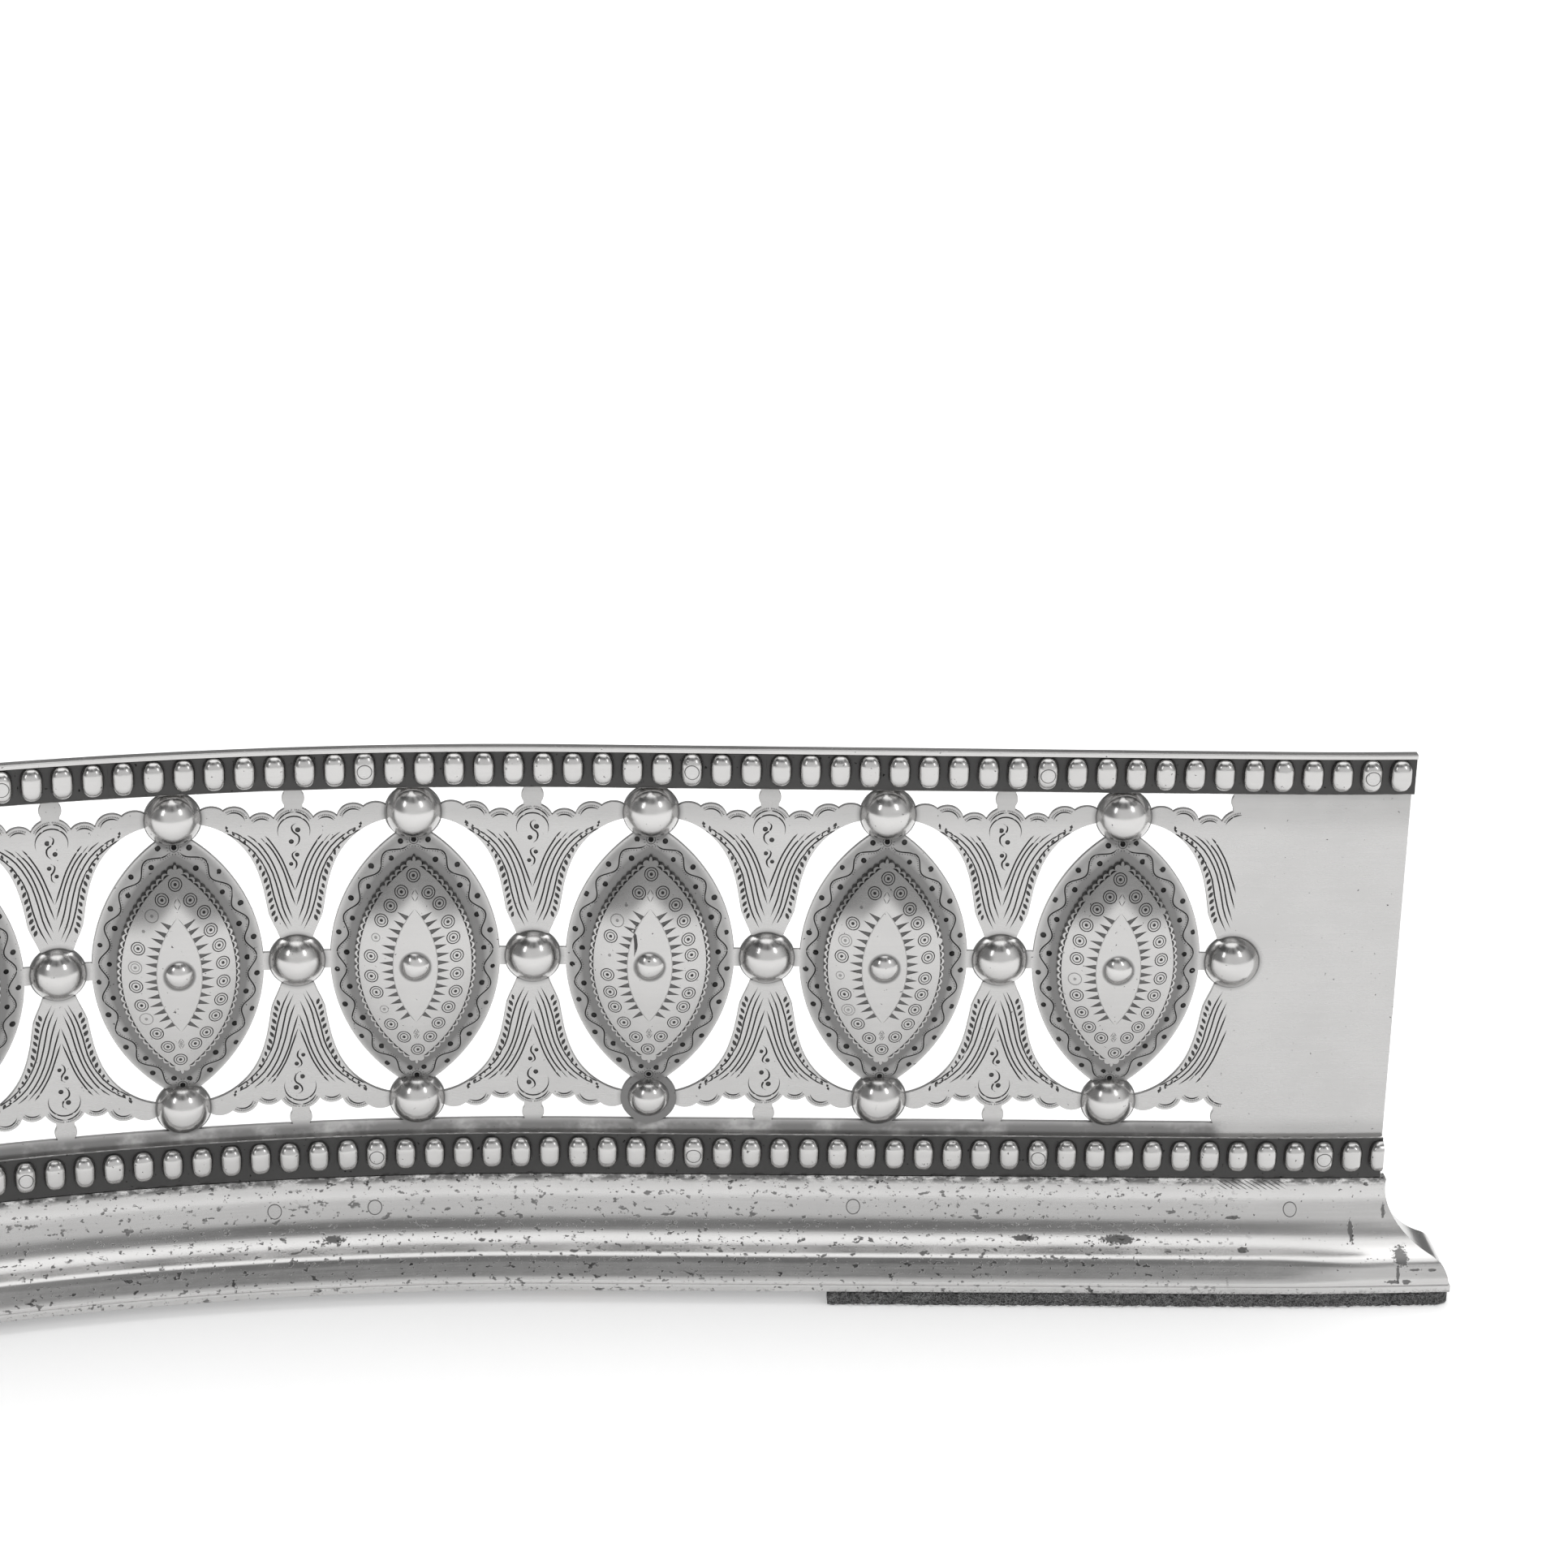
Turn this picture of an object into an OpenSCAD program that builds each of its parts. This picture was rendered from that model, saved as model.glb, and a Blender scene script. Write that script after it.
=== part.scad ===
// Serpentine steel fire fender: a pierced frieze plate on a moulded base, with beading along
// both of its edges, domed studs and applied bosses, standing on felt pads.
// X runs along the fender, the front faces -Y, and Z is up from the underside of the felt.
// Along the fender every place is an arc length s from the middle, on the frieze's front face.
// Across it every place is a distance o in front of that face.

/* [Frieze] */
// Pitch of the pierced ovals, which sets the whole layout
oval_pitch = 82.7; // [81.5:0.1:84]
// Plain panel beyond the outermost oval's centre
end_panel = 100.7; // [95:0.1:104]
// Thickness of the frieze plate
plate_t = 1.6; // [1.2:0.1:2.5]
// Height of the oval centres above the base's underside
oval_z = 120.8; // [119:0.1:122]
// Half the width of a pierced oval's ring
ring_a = 29.6; // [28:0.1:30]
// Half the height of a pierced oval's ring
ring_b = 50.9; // [49:0.1:52]

/* [Plan] */
// Radius of the middle bow
bow_r = 503; // [450:1:600]
// Angle that the bow turns through on each side
bow_angle = 17; // [15:0.5:18]
// Radius of the hollow sweeps beside the bow
sweep_r = 798; // [700:1:900]
// Radius of the ends, which turn back a little
end_r = 945; // [700:1:1200]
// Length of each turned-back end
end_l = 51; // [48:0.5:60]

/* [Beading] */
// Radius of a bead
bead_r = 3.9; // [3.5:0.1:4.2]
// Height of a bead
bead_h = 11.8; // [11:0.1:12.2]
// Thickness of the band that carries the beads
band_t = 2.2; // [1.8:0.1:2.6]

/* [Studs and bosses] */
// Radius of the domed studs
stud_r = 9.2; // [8.5:0.1:9.5]
// Rise of the domed studs
stud_rise = 7.8; // [6:0.1:9]
// Radius of the one smaller, replaced stud
small_stud_r = 7.1; // [6.5:0.1:8]
// Width of a boss
boss_w = 43; // [40:0.5:45]
// Height of a boss
boss_h = 80; // [76:0.5:82]
// Rise of a boss above its rim
boss_rise = 6.5; // [5:0.1:8]
// Stand-off of a boss's rim from the plate
boss_rim = 2.2; // [1.5:0.1:3]

/* [Base] */
// Thickness of the felt pads
felt_t = 5; // [3:0.5:6]
// Thickness of the iron bar behind the plate
bar_t = 6; // [4:0.5:8]
// Length of felt under each end, along the frieze
end_felt_l = 201; // [150:1:230]
// Length of felt under the middle
mid_felt_l = 200; // [120:1:260]

/* [Hidden] */
$fn = 64;

// Seven ovals on each side of the middle one, and three lengths of beading on each side of the
// middle. The top band runs a little past the plate and past its last bead. The bottom row is
// coarser, and its last bead is cut through 1 mm past its centre, where the plate ends.
side_ovals = 7;
side_lengths = 3;
beads_per_length = 22;
half_row = side_lengths * beads_per_length;
half_plate = side_ovals * oval_pitch + end_panel;
band_over = 0.6;
band_tail = 0.4;
half_band = half_plate + band_over;
bead_pitch = (half_band - band_tail) / half_row;
cut_bead = 1;
low_bead_pitch = (half_plate - cut_bead) / (half_row - 0.5);

// Cutters and drills run well clear of what they cut, and sunk ends bite into their heads.
cutter = 20;
drill = 6;
clear = 1;
bite = 0.5;

// Plan: bow, hollow sweep, straight wing and turned-back end, the same on both sides.
rad = 180 / PI;
bow_end = bow_r * bow_angle / rad;
sweep_end = bow_end + sweep_r * bow_angle / rad;
wing_end = sweep_end + round(10 * (half_plate - end_l - sweep_end)) / 10;
mitre_reach = 30;
half_reach = half_plate + mitre_reach;
knots = [-half_reach, -wing_end, -sweep_end, -bow_end, bow_end, sweep_end, wing_end, half_reach];
bends = [end_r, 0, -sweep_r, bow_r, -sweep_r, 0, end_r];
lap = 0.05;
hairline = 0.03;
tongue_in = 0.4;
tongue_l = 2;
half_steps = 110;

// Base moulding: a square fillet, a round nose and a deep cove, as offsets from the plate.
base_h = 36;
base_out = 23.6;
fillet_h = 3;
nose_o = 11.1;
nose_z = 2.5;
nose_r = 12;
cove_o = 24.2;
cove_z = 33;
cove_r = 22;
cove_foot = 18;
moulding_room = [[-1, -1], [20.6, -1], [20.6, 5.5], [16.8, 9.2], [12.5, 10.6], [8.2, 13.6],
    [5, 17], [0, 19.5], [-1, 19.5]];

// The returns only cover the frieze's end edges.
return_l = plate_t;

// The plan is set so that the whole fender's box is centred on the origin. The sole strips reach
// furthest back.
felt_out = base_out + 0.6;
sole_in = 14;
sole_out = 20.5;
end_turn = (half_plate - wing_end) / end_r * rad;
bow_depth = (bow_r + sweep_r) * (1 - cos(bow_angle));
end_depth = end_r * (1 - cos(end_turn));
box_back = bow_depth + end_depth + sole_in * cos(end_turn);
plan_y0 = (felt_out - box_back) / 2;

// Heights
base_z = felt_t;
mid_z = base_z + oval_z;
sole_t = 1.6;
plate_z = base_z + sole_t;
plate_top = base_z + 199.8;
low_band_z = base_z + base_h;
low_band_h = 16.4;
low_bead_z = base_z + 45.1;
top_band_z = base_z + 185.4;
top_band_h = 15.4;
top_bead_z = base_z + 192.9;
top_fillet_h = 1.9;
top_fillet_t = 3.4;
bead_corner = 2.6;
bead_sink = 0.25;

// Piercing, in a bay's own plane, measured from the oval's centre
half_bay = oval_pitch / 2;
ball_y = 55;
disc_r = 9.9;
bridge_h = 3.2;
neck_disc_y = 61;
neck_disc_r = 3.75;
neck_half = 3;
top_slot_y = 64.7;
low_slot_y = 63.6;
slot_floor = 53.2;
leaf_lobe = [half_bay, 50.2, 7.6];
leaf_scallops = [[30.3, 50.2, 5.4], [20.8, 52.6, 5.7], [13, 52.2, 6.5]];
leaf_foot = [[35.8, 8.6], [34.9, 11.8], [33.2, 14.6], [32.1, 18]];
leaf_side = [[32.1, 18], [31, 24], [30.7, 28.5], [28.4, 35]];
leaf_shoulder = [[28.4, 35], [25.6, 43], [19, 51], [8.6, 52.8]];

// Fastenings
shank_r = 2.1;
pin_r = 1.8;
tail_t = 1;
tail_r = 3.4;
rivet_r = 2.5;
base_rivet_r = 3.1;
base_rivet_z = base_z + 24.5;
base_rivet_seat = 1.2;
base_rivet_ends = [half_plate - 32.6, bow_end + 10.8];
base_rivet_s = [-base_rivet_ends[0], -488, -315, -base_rivet_ends[1], 0, base_rivet_ends[1],
    279, 315, 488, base_rivet_ends[0]];
sole_rivet_s = [60, 220, 380, 540, 640];
sole_rivet_o = -plate_t - bar_t / 2;
sole_rivet_depth = 6;
low_rivets = [7, 18, 30, 41, 53, 63];
top_rivets = [7, 18, 30, 41, 53, 64];
replaced_oval = 5;
boss_pin_r = 1.8;
boss_stud_r = 5;
boss_stud_rise = 3.8;
boss_gap = 0.3;
boss_sheet = 1.2;
boss_foot_in = [2, 4];
boss_foot_lap = 0.6;
boss_room_in = [3.4, 7];
spot_face = 0.35;
spot_clearance = 0.1;
boss_seat = boss_rim + boss_rise - spot_face;
small_stud_rise = 0.8 * stud_rise;

// Iron behind the plate
bar_h = 30;
felt_in = 13;

steel = "lightsteelblue";
bright = "gainsboro";
iron = "dimgray";
felt = "darkslategray";

// ---- the plan curve ----

function heading_out(s) =
    s < bow_end ? s / bow_r * rad
    : s < sweep_end ? bow_angle - (s - bow_end) / sweep_r * rad
    : s < wing_end ? 0
    : (s - wing_end) / end_r * rad;

function heading(s) = sign(s) * heading_out(abs(s));

function plan_out(s) =
    let (h = heading_out(s), foot = bow_r * sin(bow_angle), back = bow_r * (1 - cos(bow_angle)))
    s < bow_end ? [bow_r * sin(h), bow_r * (1 - cos(h))]
    : s < sweep_end ? [foot + sweep_r * (sin(bow_angle) - sin(h)),
        back + sweep_r * (cos(h) - cos(bow_angle))]
    : s < wing_end ? [foot + sweep_r * sin(bow_angle) + s - sweep_end, bow_depth]
    : [foot + sweep_r * sin(bow_angle) + wing_end - sweep_end + end_r * sin(h),
        bow_depth + end_r * (1 - cos(h))];

function plan(s) =
    let (p = plan_out(abs(s)))
    [sign(s) * p[0], p[1] + plan_y0];

// Puts children at arc length s: x along the curve, y to the back, z up.
module place(s) {
    p = plan(s);
    translate([p[0], p[1], 0]) rotate([0, 0, heading(s)]) children();
}

// Puts children on the frieze's face at height z: x along it, y up it, z to the front.
module face(s, z, o = 0) {
    place(s) translate([0, -o, z]) rotate([90, 0, 0]) children();
}

// Sweeps a flat section (x = offset o, y = height) along the curve from s = a to s = b. Each
// stretch is drawn from the end that meets its neighbour, and laps over it by a hair.
module run(a, b, over = lap) {
    for (i = [0 : len(bends) - 1]) {
        from = max(a, knots[i]);
        to = min(b, knots[i + 1]);
        if (to - from > 0.01) {
            if (a < knots[i]) stretch(bends[i], from, to, over) children();
            else stretch(bends[i], to, from, over) children();
        }
    }
}

// One stretch, drawn from s = start to s = end, which may be on either side of it
module stretch(bend, start, end, over) {
    p = plan(start);
    h = heading(start);
    length = end - start;
    if (bend == 0) {
        place(start) rotate([90, 0, 90]) translate([0, 0, min(length, 0) - over])
            linear_extrude(abs(length) + 2 * over) mirror([1, 0]) children();
    } else {
        turn = sign(length) * over / bend * rad;
        translate([p[0] - bend * sin(h), p[1] + bend * cos(h), 0])
            arc(h - 90 * sign(bend) - turn, heading(end) - h + turn)
                translate([abs(bend), 0]) mirror([bend > 0 ? 0 : 1, 0]) children();
    }
}

module arc(start, turn) {
    if (turn > 0) rotate_extrude(angle = turn, start = start, $fn = 256) children();
    else mirror([0, 1, 0]) rotate_extrude(angle = -turn, start = -start, $fn = 256) children();
}

// ---- outlines ----

function bezier(c, n) = [for (i = [0 : n])
    let (t = i / n, u = 1 - t)
    u * u * u * c[0] + 3 * u * u * t * c[1] + 3 * u * t * t * c[2] + t * t * t * c[3]];

// A pointed oval, the overlap of two circles
module pointed_oval(a, b) {
    r = (a * a + b * b) / (2 * a);
    intersection() {
        translate([a - r, 0]) circle(r, $fn = 180);
        translate([r - a, 0]) circle(r, $fn = 180);
    }
}

// Opening between the ring and the leaf, in the upper right quarter of a bay
module side_opening() {
    edge = concat([[0, bridge_h], [half_bay, bridge_h], [half_bay, 8.6]], bezier(leaf_foot, 3),
        bezier(leaf_side, 4), bezier(leaf_shoulder, 6), [[0, 52.8]]);
    difference() {
        polygon(edge);
        pointed_oval(ring_a, ring_b);
        translate([half_bay, 0]) circle(disc_r);
        translate([0, ball_y]) circle(disc_r);
    }
}

// Slot between the leaf's scalloped edge and the plain border
module edge_slot(outer) {
    difference() {
        translate([0, slot_floor]) square([half_bay - neck_half, outer - slot_floor]);
        translate([half_bay, neck_disc_y]) circle(neck_disc_r);
        translate([0, ball_y]) circle(disc_r);
        translate([leaf_lobe[0], leaf_lobe[1]]) circle(leaf_lobe[2]);
        for (c = leaf_scallops) translate([c[0], c[1]]) circle(c[2]);
    }
}

module bay_piercing() {
    for (m = [0, 1]) mirror([m, 0]) {
        side_opening();
        mirror([0, 1]) side_opening();
        edge_slot(top_slot_y);
        mirror([0, 1]) edge_slot(low_slot_y);
    }
}

// A block from the plate out to o = w and up to z = h, made e smaller all round
module block(w, h, e) translate([e, e]) square([w - 2 * e, h - 2 * e]);

module moulding_outline(e = 0) {
    intersection() {
        difference() {
            union() {
                block(base_out, fillet_h, e);
                translate([nose_o, nose_z]) circle(nose_r - e);
                block(cove_foot, base_h, e);
            }
            translate([cove_o, cove_z]) circle(cove_r + e, $fn = 180);
        }
        block(base_out, base_h, e);
    }
}

// The moulding is a bent sheet, open behind. With e it lies that far inside the surface.
module moulding_section(e = 0) {
    translate([0, base_z]) difference() {
        moulding_outline(e);
        translate([e, e]) polygon(moulding_room);
    }
}

// ---- frieze ----

// The curve at offset o as a many-sided line, which stays within 0.01 mm of the arcs. It
// runs to the right, or to the left where way is -1.
function curve_points(o, way = 1) = [for (i = [-half_steps : half_steps])
    let (s = way * i / half_steps * half_plate)
    plan(s) + o * [sin(heading(s)), -cos(heading(s))]];

module plate_hole(s, z, r) face(s, z, -drill / 2) cylinder(r = r, h = drill);

module frieze_plate() color(steel) difference() {
    translate([0, 0, plate_z]) linear_extrude(plate_top - plate_z)
        polygon(concat(curve_points(0), curve_points(-plate_t, -1)));
    for (i = [-side_ovals : side_ovals]) {
        face(i * oval_pitch, mid_z, -cutter / 2) linear_extrude(cutter) bay_piercing();
        plate_hole(i * oval_pitch, mid_z, boss_pin_r);
        for (y = [-ball_y, ball_y]) plate_hole(i * oval_pitch, mid_z + y, shank_r);
    }
    for (i = [-side_ovals - 1 : side_ovals]) plate_hole((i + 0.5) * oval_pitch, mid_z, shank_r);
    for (m = [-1, 1]) {
        for (b = top_rivets) plate_hole(m * (b + 0.5) * bead_pitch, top_bead_z, pin_r);
        for (b = low_rivets) plate_hole(m * (b + 0.5) * low_bead_pitch, low_bead_z, pin_r);
    }
    for (s = base_rivet_s) plate_hole(s, base_rivet_z, shank_r);
}

// ---- beading ----

module bead_section() {
    half = bead_h / 2;
    intersection() {
        translate([0, -half]) square([bead_r, bead_h]);
        union() {
            translate([0, -half]) square([bead_r - bead_corner, bead_h]);
            translate([0, bead_corner - half]) square([bead_r, bead_h - 2 * bead_corner]);
            for (y = [-1, 1])
                translate([bead_r - bead_corner, y * (half - bead_corner)]) circle(bead_corner);
        }
    }
}

// Half barrel with rounded shoulders, its axis upright and its flat back let into the band
module bead_at(s, z) {
    place(s) translate([0, bead_sink - band_t, z])
        rotate_extrude(angle = 180, start = 180) bead_section();
}

module top_band() {
    translate([0, top_band_z]) square([band_t, top_band_h]);
    translate([0, top_band_z + top_band_h - top_fillet_h]) square([top_fillet_t, top_fillet_h]);
}

module low_band() translate([0, low_band_z]) square([band_t, low_band_h]);

module rivet_hole(s, z) {
    face(s, z, band_t) cylinder(r = rivet_r, h = cutter);
    face(s, z, -clear) cylinder(r = pin_r, h = band_t + 2 * clear);
}

// Length k of the top beading, numbered from the left end
module top_beading(k) color(bright) {
    first = (k - 1 - side_lengths) * beads_per_length;
    difference() {
        union() {
            run(k == 1 ? -half_band : first * bead_pitch,
                k == 2 * side_lengths ? half_band : (first + beads_per_length) * bead_pitch)
                top_band();
            for (b = [first : first + beads_per_length - 1])
                bead_at((b + 0.5) * bead_pitch, top_bead_z);
        }
        for (b = top_rivets, m = [-1, 1]) {
            bead_no = m > 0 ? b : -b - 1;
            if (bead_no >= first && bead_no < first + beads_per_length)
                rivet_hole((bead_no + 0.5) * bead_pitch, top_bead_z);
        }
    }
}

module past_plate_end()
    place(half_plate) translate([0, -cutter, low_band_z - clear])
        cube([cutter, 2 * cutter, low_band_h + 2 * clear]);

// Length k of the bottom beading, cut off flush where the plate ends
module bottom_beading(k) color(bright) {
    first = (k - 1 - side_lengths) * beads_per_length;
    difference() {
        union() {
            run(max(first * low_bead_pitch, -half_plate),
                min((first + beads_per_length) * low_bead_pitch, half_plate)) low_band();
            for (b = [first : first + beads_per_length - 1])
                bead_at((b + 0.5) * low_bead_pitch, low_bead_z);
        }
        for (b = low_rivets, m = [-1, 1]) {
            bead_no = m > 0 ? b : -b - 1;
            if (bead_no >= first && bead_no < first + beads_per_length)
                rivet_hole((bead_no + 0.5) * low_bead_pitch, low_bead_z);
        }
        if (k == 2 * side_lengths) past_plate_end();
        if (k == 1) mirror([1, 0, 0]) past_plate_end();
    }
}

// A rivet whose head is filed flush with its bead
module beading_rivet(s, z) {
    intersection() {
        bead_at(s, z);
        face(s, z, band_t) cylinder(r = rivet_r, h = cutter);
    }
    face(s, z, -plate_t) cylinder(r = pin_r, h = plate_t + band_t + bite);
    face(s, z, -plate_t - tail_t) cylinder(r = rivet_r, h = tail_t);
}

module top_beading_rivets() color(bright)
    for (b = top_rivets, m = [-1, 1])
        beading_rivet(m * (b + 0.5) * bead_pitch, top_bead_z);

module bottom_beading_rivets() color(bright)
    for (b = low_rivets, m = [-1, 1])
        beading_rivet(m * (b + 0.5) * low_bead_pitch, low_bead_z);

// ---- studs ----

// Domed head on the front, shank through the plate, tail hammered over behind
module stud(r, rise) {
    big_r = (r * r + rise * rise) / (2 * rise);
    rotate_extrude() intersection() {
        translate([0, rise - big_r]) circle(big_r, $fn = 128);
        square([r + clear, rise]);
    }
    translate([0, 0, -plate_t]) cylinder(r = shank_r, h = plate_t + bite);
    translate([0, 0, -plate_t - tail_t]) cylinder(r = tail_r, h = tail_t);
}

module top_studs() color(bright)
    for (i = [-side_ovals : side_ovals])
        face(i * oval_pitch, mid_z + ball_y) stud(stud_r, stud_rise);

module middle_studs() color(bright)
    for (i = [-side_ovals - 1 : side_ovals])
        face((i + 0.5) * oval_pitch, mid_z) stud(stud_r, stud_rise);

module bottom_studs() color(bright)
    for (i = [-side_ovals : side_ovals])
        if (i != replaced_oval)
            face(i * oval_pitch, mid_z - ball_y) stud(stud_r, stud_rise);

module replaced_stud() color(bright)
    face(replaced_oval * oval_pitch, mid_z - ball_y) stud(small_stud_r, small_stud_rise);

// ---- bosses ----

// A shallow dome, part of a lemon-shaped solid of revolution, that is e thick at the rim
module boss_dome(rise, e) {
    a = boss_w / 2;
    b = boss_h / 2;
    depth = (a * a - rise * rise + e * e) / (2 * (rise - e));
    big_r = (b * b + (rise - e) * (rise - e)) / (2 * (rise - e));
    translate([0, 0, -depth]) rotate([-90, 0, 0]) rotate_extrude($fn = 180) intersection() {
        translate([depth + rise - big_r, 0]) circle(big_r, $fn = 360);
        translate([0, -b - clear]) square([depth + rise + clear, boss_h + 2 * clear]);
    }
}

// Pressed from sheet: a crowned pointed oval with a turned-in foot, hollow behind
module boss_shell() {
    a = boss_w / 2;
    b = boss_h / 2;
    difference() {
        union() {
            linear_extrude(boss_rim + boss_foot_lap)
                pointed_oval(a - boss_foot_in[0], b - boss_foot_in[1]);
            translate([0, 0, boss_rim]) intersection() {
                linear_extrude(boss_rise + clear) pointed_oval(a, b);
                boss_dome(boss_rise, boss_sheet);
            }
        }
        translate([0, 0, boss_rim - boss_sheet]) intersection() {
            translate([0, 0, -boss_rim]) linear_extrude(boss_rim + boss_rise + clear)
                pointed_oval(a - boss_room_in[0], b - boss_room_in[1]);
            boss_dome(boss_rise, boss_sheet);
        }
        translate([0, 0, boss_seat]) cylinder(r = boss_stud_r + spot_clearance, h = cutter);
        cylinder(r = boss_pin_r, h = 2 * cutter, center = true);
    }
}

// Boss n stands on oval n, counted from the left
module boss(n) color(bright)
    face((n - 1 - side_ovals) * oval_pitch, mid_z, boss_gap) boss_shell();

module boss_stud() {
    big_r = (boss_stud_r * boss_stud_r + boss_stud_rise * boss_stud_rise) / (2 * boss_stud_rise);
    seat = boss_gap + boss_seat;
    translate([0, 0, seat]) rotate_extrude() intersection() {
        translate([0, boss_stud_rise - big_r]) circle(big_r);
        square([boss_stud_r + clear, boss_stud_rise]);
    }
    translate([0, 0, -plate_t]) cylinder(r = boss_pin_r, h = plate_t + seat + bite);
    translate([0, 0, -plate_t - tail_t]) cylinder(r = tail_r, h = tail_t);
}

module boss_studs() color(bright)
    for (i = [-side_ovals : side_ovals]) face(i * oval_pitch, mid_z) boss_stud();

// ---- base ----

// What the right mitre cuts off the moulding that runs on past the plate
module beyond_mitre() {
    place(half_plate) linear_extrude(base_z + base_h + clear)
        polygon([[0, 0], [2 * mitre_reach, -2 * mitre_reach], [2 * mitre_reach, mitre_reach],
            [0, mitre_reach]]);
}

// A hairline parts each stretch from the next, and a tongue inside the surface joins them.
module base_moulding() color(steel) difference() {
    union() {
        run(-half_plate - base_out - clear, half_plate + base_out + clear, -hairline)
            moulding_section();
        for (i = [1 : len(bends) - 1])
            place(knots[i]) rotate([90, 0, 90]) translate([0, 0, -tongue_l / 2])
                linear_extrude(tongue_l) mirror([1, 0]) moulding_section(tongue_in);
    }
    beyond_mitre();
    mirror([1, 0, 0]) beyond_mitre();
    for (s = base_rivet_s) {
        face(s, base_rivet_z, base_rivet_seat) cylinder(r = base_rivet_r, h = cutter);
        face(s, base_rivet_z, -clear) cylinder(r = shank_r, h = base_rivet_seat + 2 * clear);
    }
}

// The right return, which runs straight back from the mitre to the back of the plate
module base_return() {
    place(half_plate) intersection() {
        translate([0, return_l, 0]) rotate([90, 0, 0])
            linear_extrude(return_l + mitre_reach) moulding_section();
        linear_extrude(base_z + base_h + clear) polygon([[0, 0], [mitre_reach, -mitre_reach],
            [mitre_reach, return_l + clear], [0, return_l + clear]]);
    }
}

module base_return_right() color(steel) base_return();
module base_return_left() color(steel) mirror([1, 0, 0]) base_return();

// Heads filed flush with the cove, shanks through moulding, plate and bar
module base_rivet(s) {
    intersection() {
        run(s - 2 * base_rivet_r, s + 2 * base_rivet_r) translate([0, base_z]) moulding_outline();
        face(s, base_rivet_z, base_rivet_seat) cylinder(r = base_rivet_r, h = cutter);
    }
    face(s, base_rivet_z, -plate_t - bar_t)
        cylinder(r = shank_r, h = plate_t + bar_t + base_rivet_seat + bite);
    face(s, base_rivet_z, -plate_t - bar_t - tail_t) cylinder(r = tail_r, h = tail_t);
}

module base_rivets() color(bright)
    for (s = base_rivet_s) base_rivet(s);

// ---- iron behind the plate ----

module sole_rivet_at(s) place(s) translate([0, -sole_rivet_o, 0]) children();

module backing_bar() color(iron) difference() {
    run(-half_plate, half_plate) translate([-plate_t - bar_t, plate_z]) square([bar_t, bar_h]);
    for (s = base_rivet_s) face(s, base_rivet_z, -cutter) cylinder(r = shank_r, h = 2 * cutter);
    for (m = [-1, 1]) {
        for (s = sole_rivet_s)
            sole_rivet_at(m * s) translate([0, 0, plate_z - clear])
                cylinder(r = pin_r, h = sole_rivet_depth + clear);
    }
}

// A sheet-iron strip that closes the underside
module sole_strip() {
    difference() {
        run(0, half_plate) translate([-sole_in, base_z]) square([sole_in + sole_out, sole_t]);
        for (s = sole_rivet_s)
            sole_rivet_at(s) translate([0, 0, base_z - clear])
                cylinder(r = pin_r, h = sole_t + 2 * clear);
    }
}

module sole_strip_right() color(iron) sole_strip();
module sole_strip_left() color(iron) mirror([1, 0, 0]) sole_strip();

// The same under the return, let in behind the fillet and soldered
module sole_return() {
    place(half_plate) translate([0, -sole_out, base_z])
        cube([sole_out, sole_out + return_l, sole_t]);
}

module sole_return_right() color(iron) sole_return();
module sole_return_left() color(iron) mirror([1, 0, 0]) sole_return();

module sole_rivets() color(iron)
    for (s = sole_rivet_s, m = [-1, 1])
        sole_rivet_at(m * s) translate([0, 0, base_z])
            cylinder(r = pin_r, h = sole_t + sole_rivet_depth);

// ---- felt ----

module felt_strip(a, b) run(a, b) translate([-felt_in, 0]) square([felt_in + felt_out, felt_t]);

module felt_return() {
    place(half_plate) translate([0, -felt_out, 0]) cube([felt_out, felt_out + return_l, felt_t]);
}

module felt_pad_right() color(felt) felt_strip(half_plate - end_felt_l, half_plate);
module felt_pad_left() color(felt) mirror([1, 0, 0]) felt_pad_right();
module felt_return_right() color(felt) felt_return();
module felt_return_left() color(felt) mirror([1, 0, 0]) felt_return();
module felt_pad_middle() color(felt) felt_strip(-mid_felt_l / 2, mid_felt_l / 2);

frieze_plate();
top_beading(1);  // top_beading_1
top_beading(2);  // top_beading_2
top_beading(3);  // top_beading_3
top_beading(4);  // top_beading_4
top_beading(5);  // top_beading_5
top_beading(6);  // top_beading_6
bottom_beading(1);  // bottom_beading_1
bottom_beading(2);  // bottom_beading_2
bottom_beading(3);  // bottom_beading_3
bottom_beading(4);  // bottom_beading_4
bottom_beading(5);  // bottom_beading_5
bottom_beading(6);  // bottom_beading_6
top_beading_rivets();
bottom_beading_rivets();
top_studs();
middle_studs();
bottom_studs();
replaced_stud();
boss(1);  // boss_01
boss(2);  // boss_02
boss(3);  // boss_03
boss(4);  // boss_04
boss(5);  // boss_05
boss(6);  // boss_06
boss(7);  // boss_07
boss(8);  // boss_08
boss(9);  // boss_09
boss(10);  // boss_10
boss(11);  // boss_11
boss(12);  // boss_12
boss(13);  // boss_13
boss(14);  // boss_14
boss(15);  // boss_15
boss_studs();
base_moulding();
base_return_left();
base_return_right();
base_rivets();
backing_bar();
sole_strip_left();
sole_strip_right();
sole_return_left();
sole_return_right();
sole_rivets();
felt_pad_left();
felt_pad_middle();
felt_pad_right();
felt_return_left();
felt_return_right();
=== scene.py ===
import bpy
import numpy as np
from mathutils import Matrix, Vector
from mathutils.geometry import delaunay_2d_cdt


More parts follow.
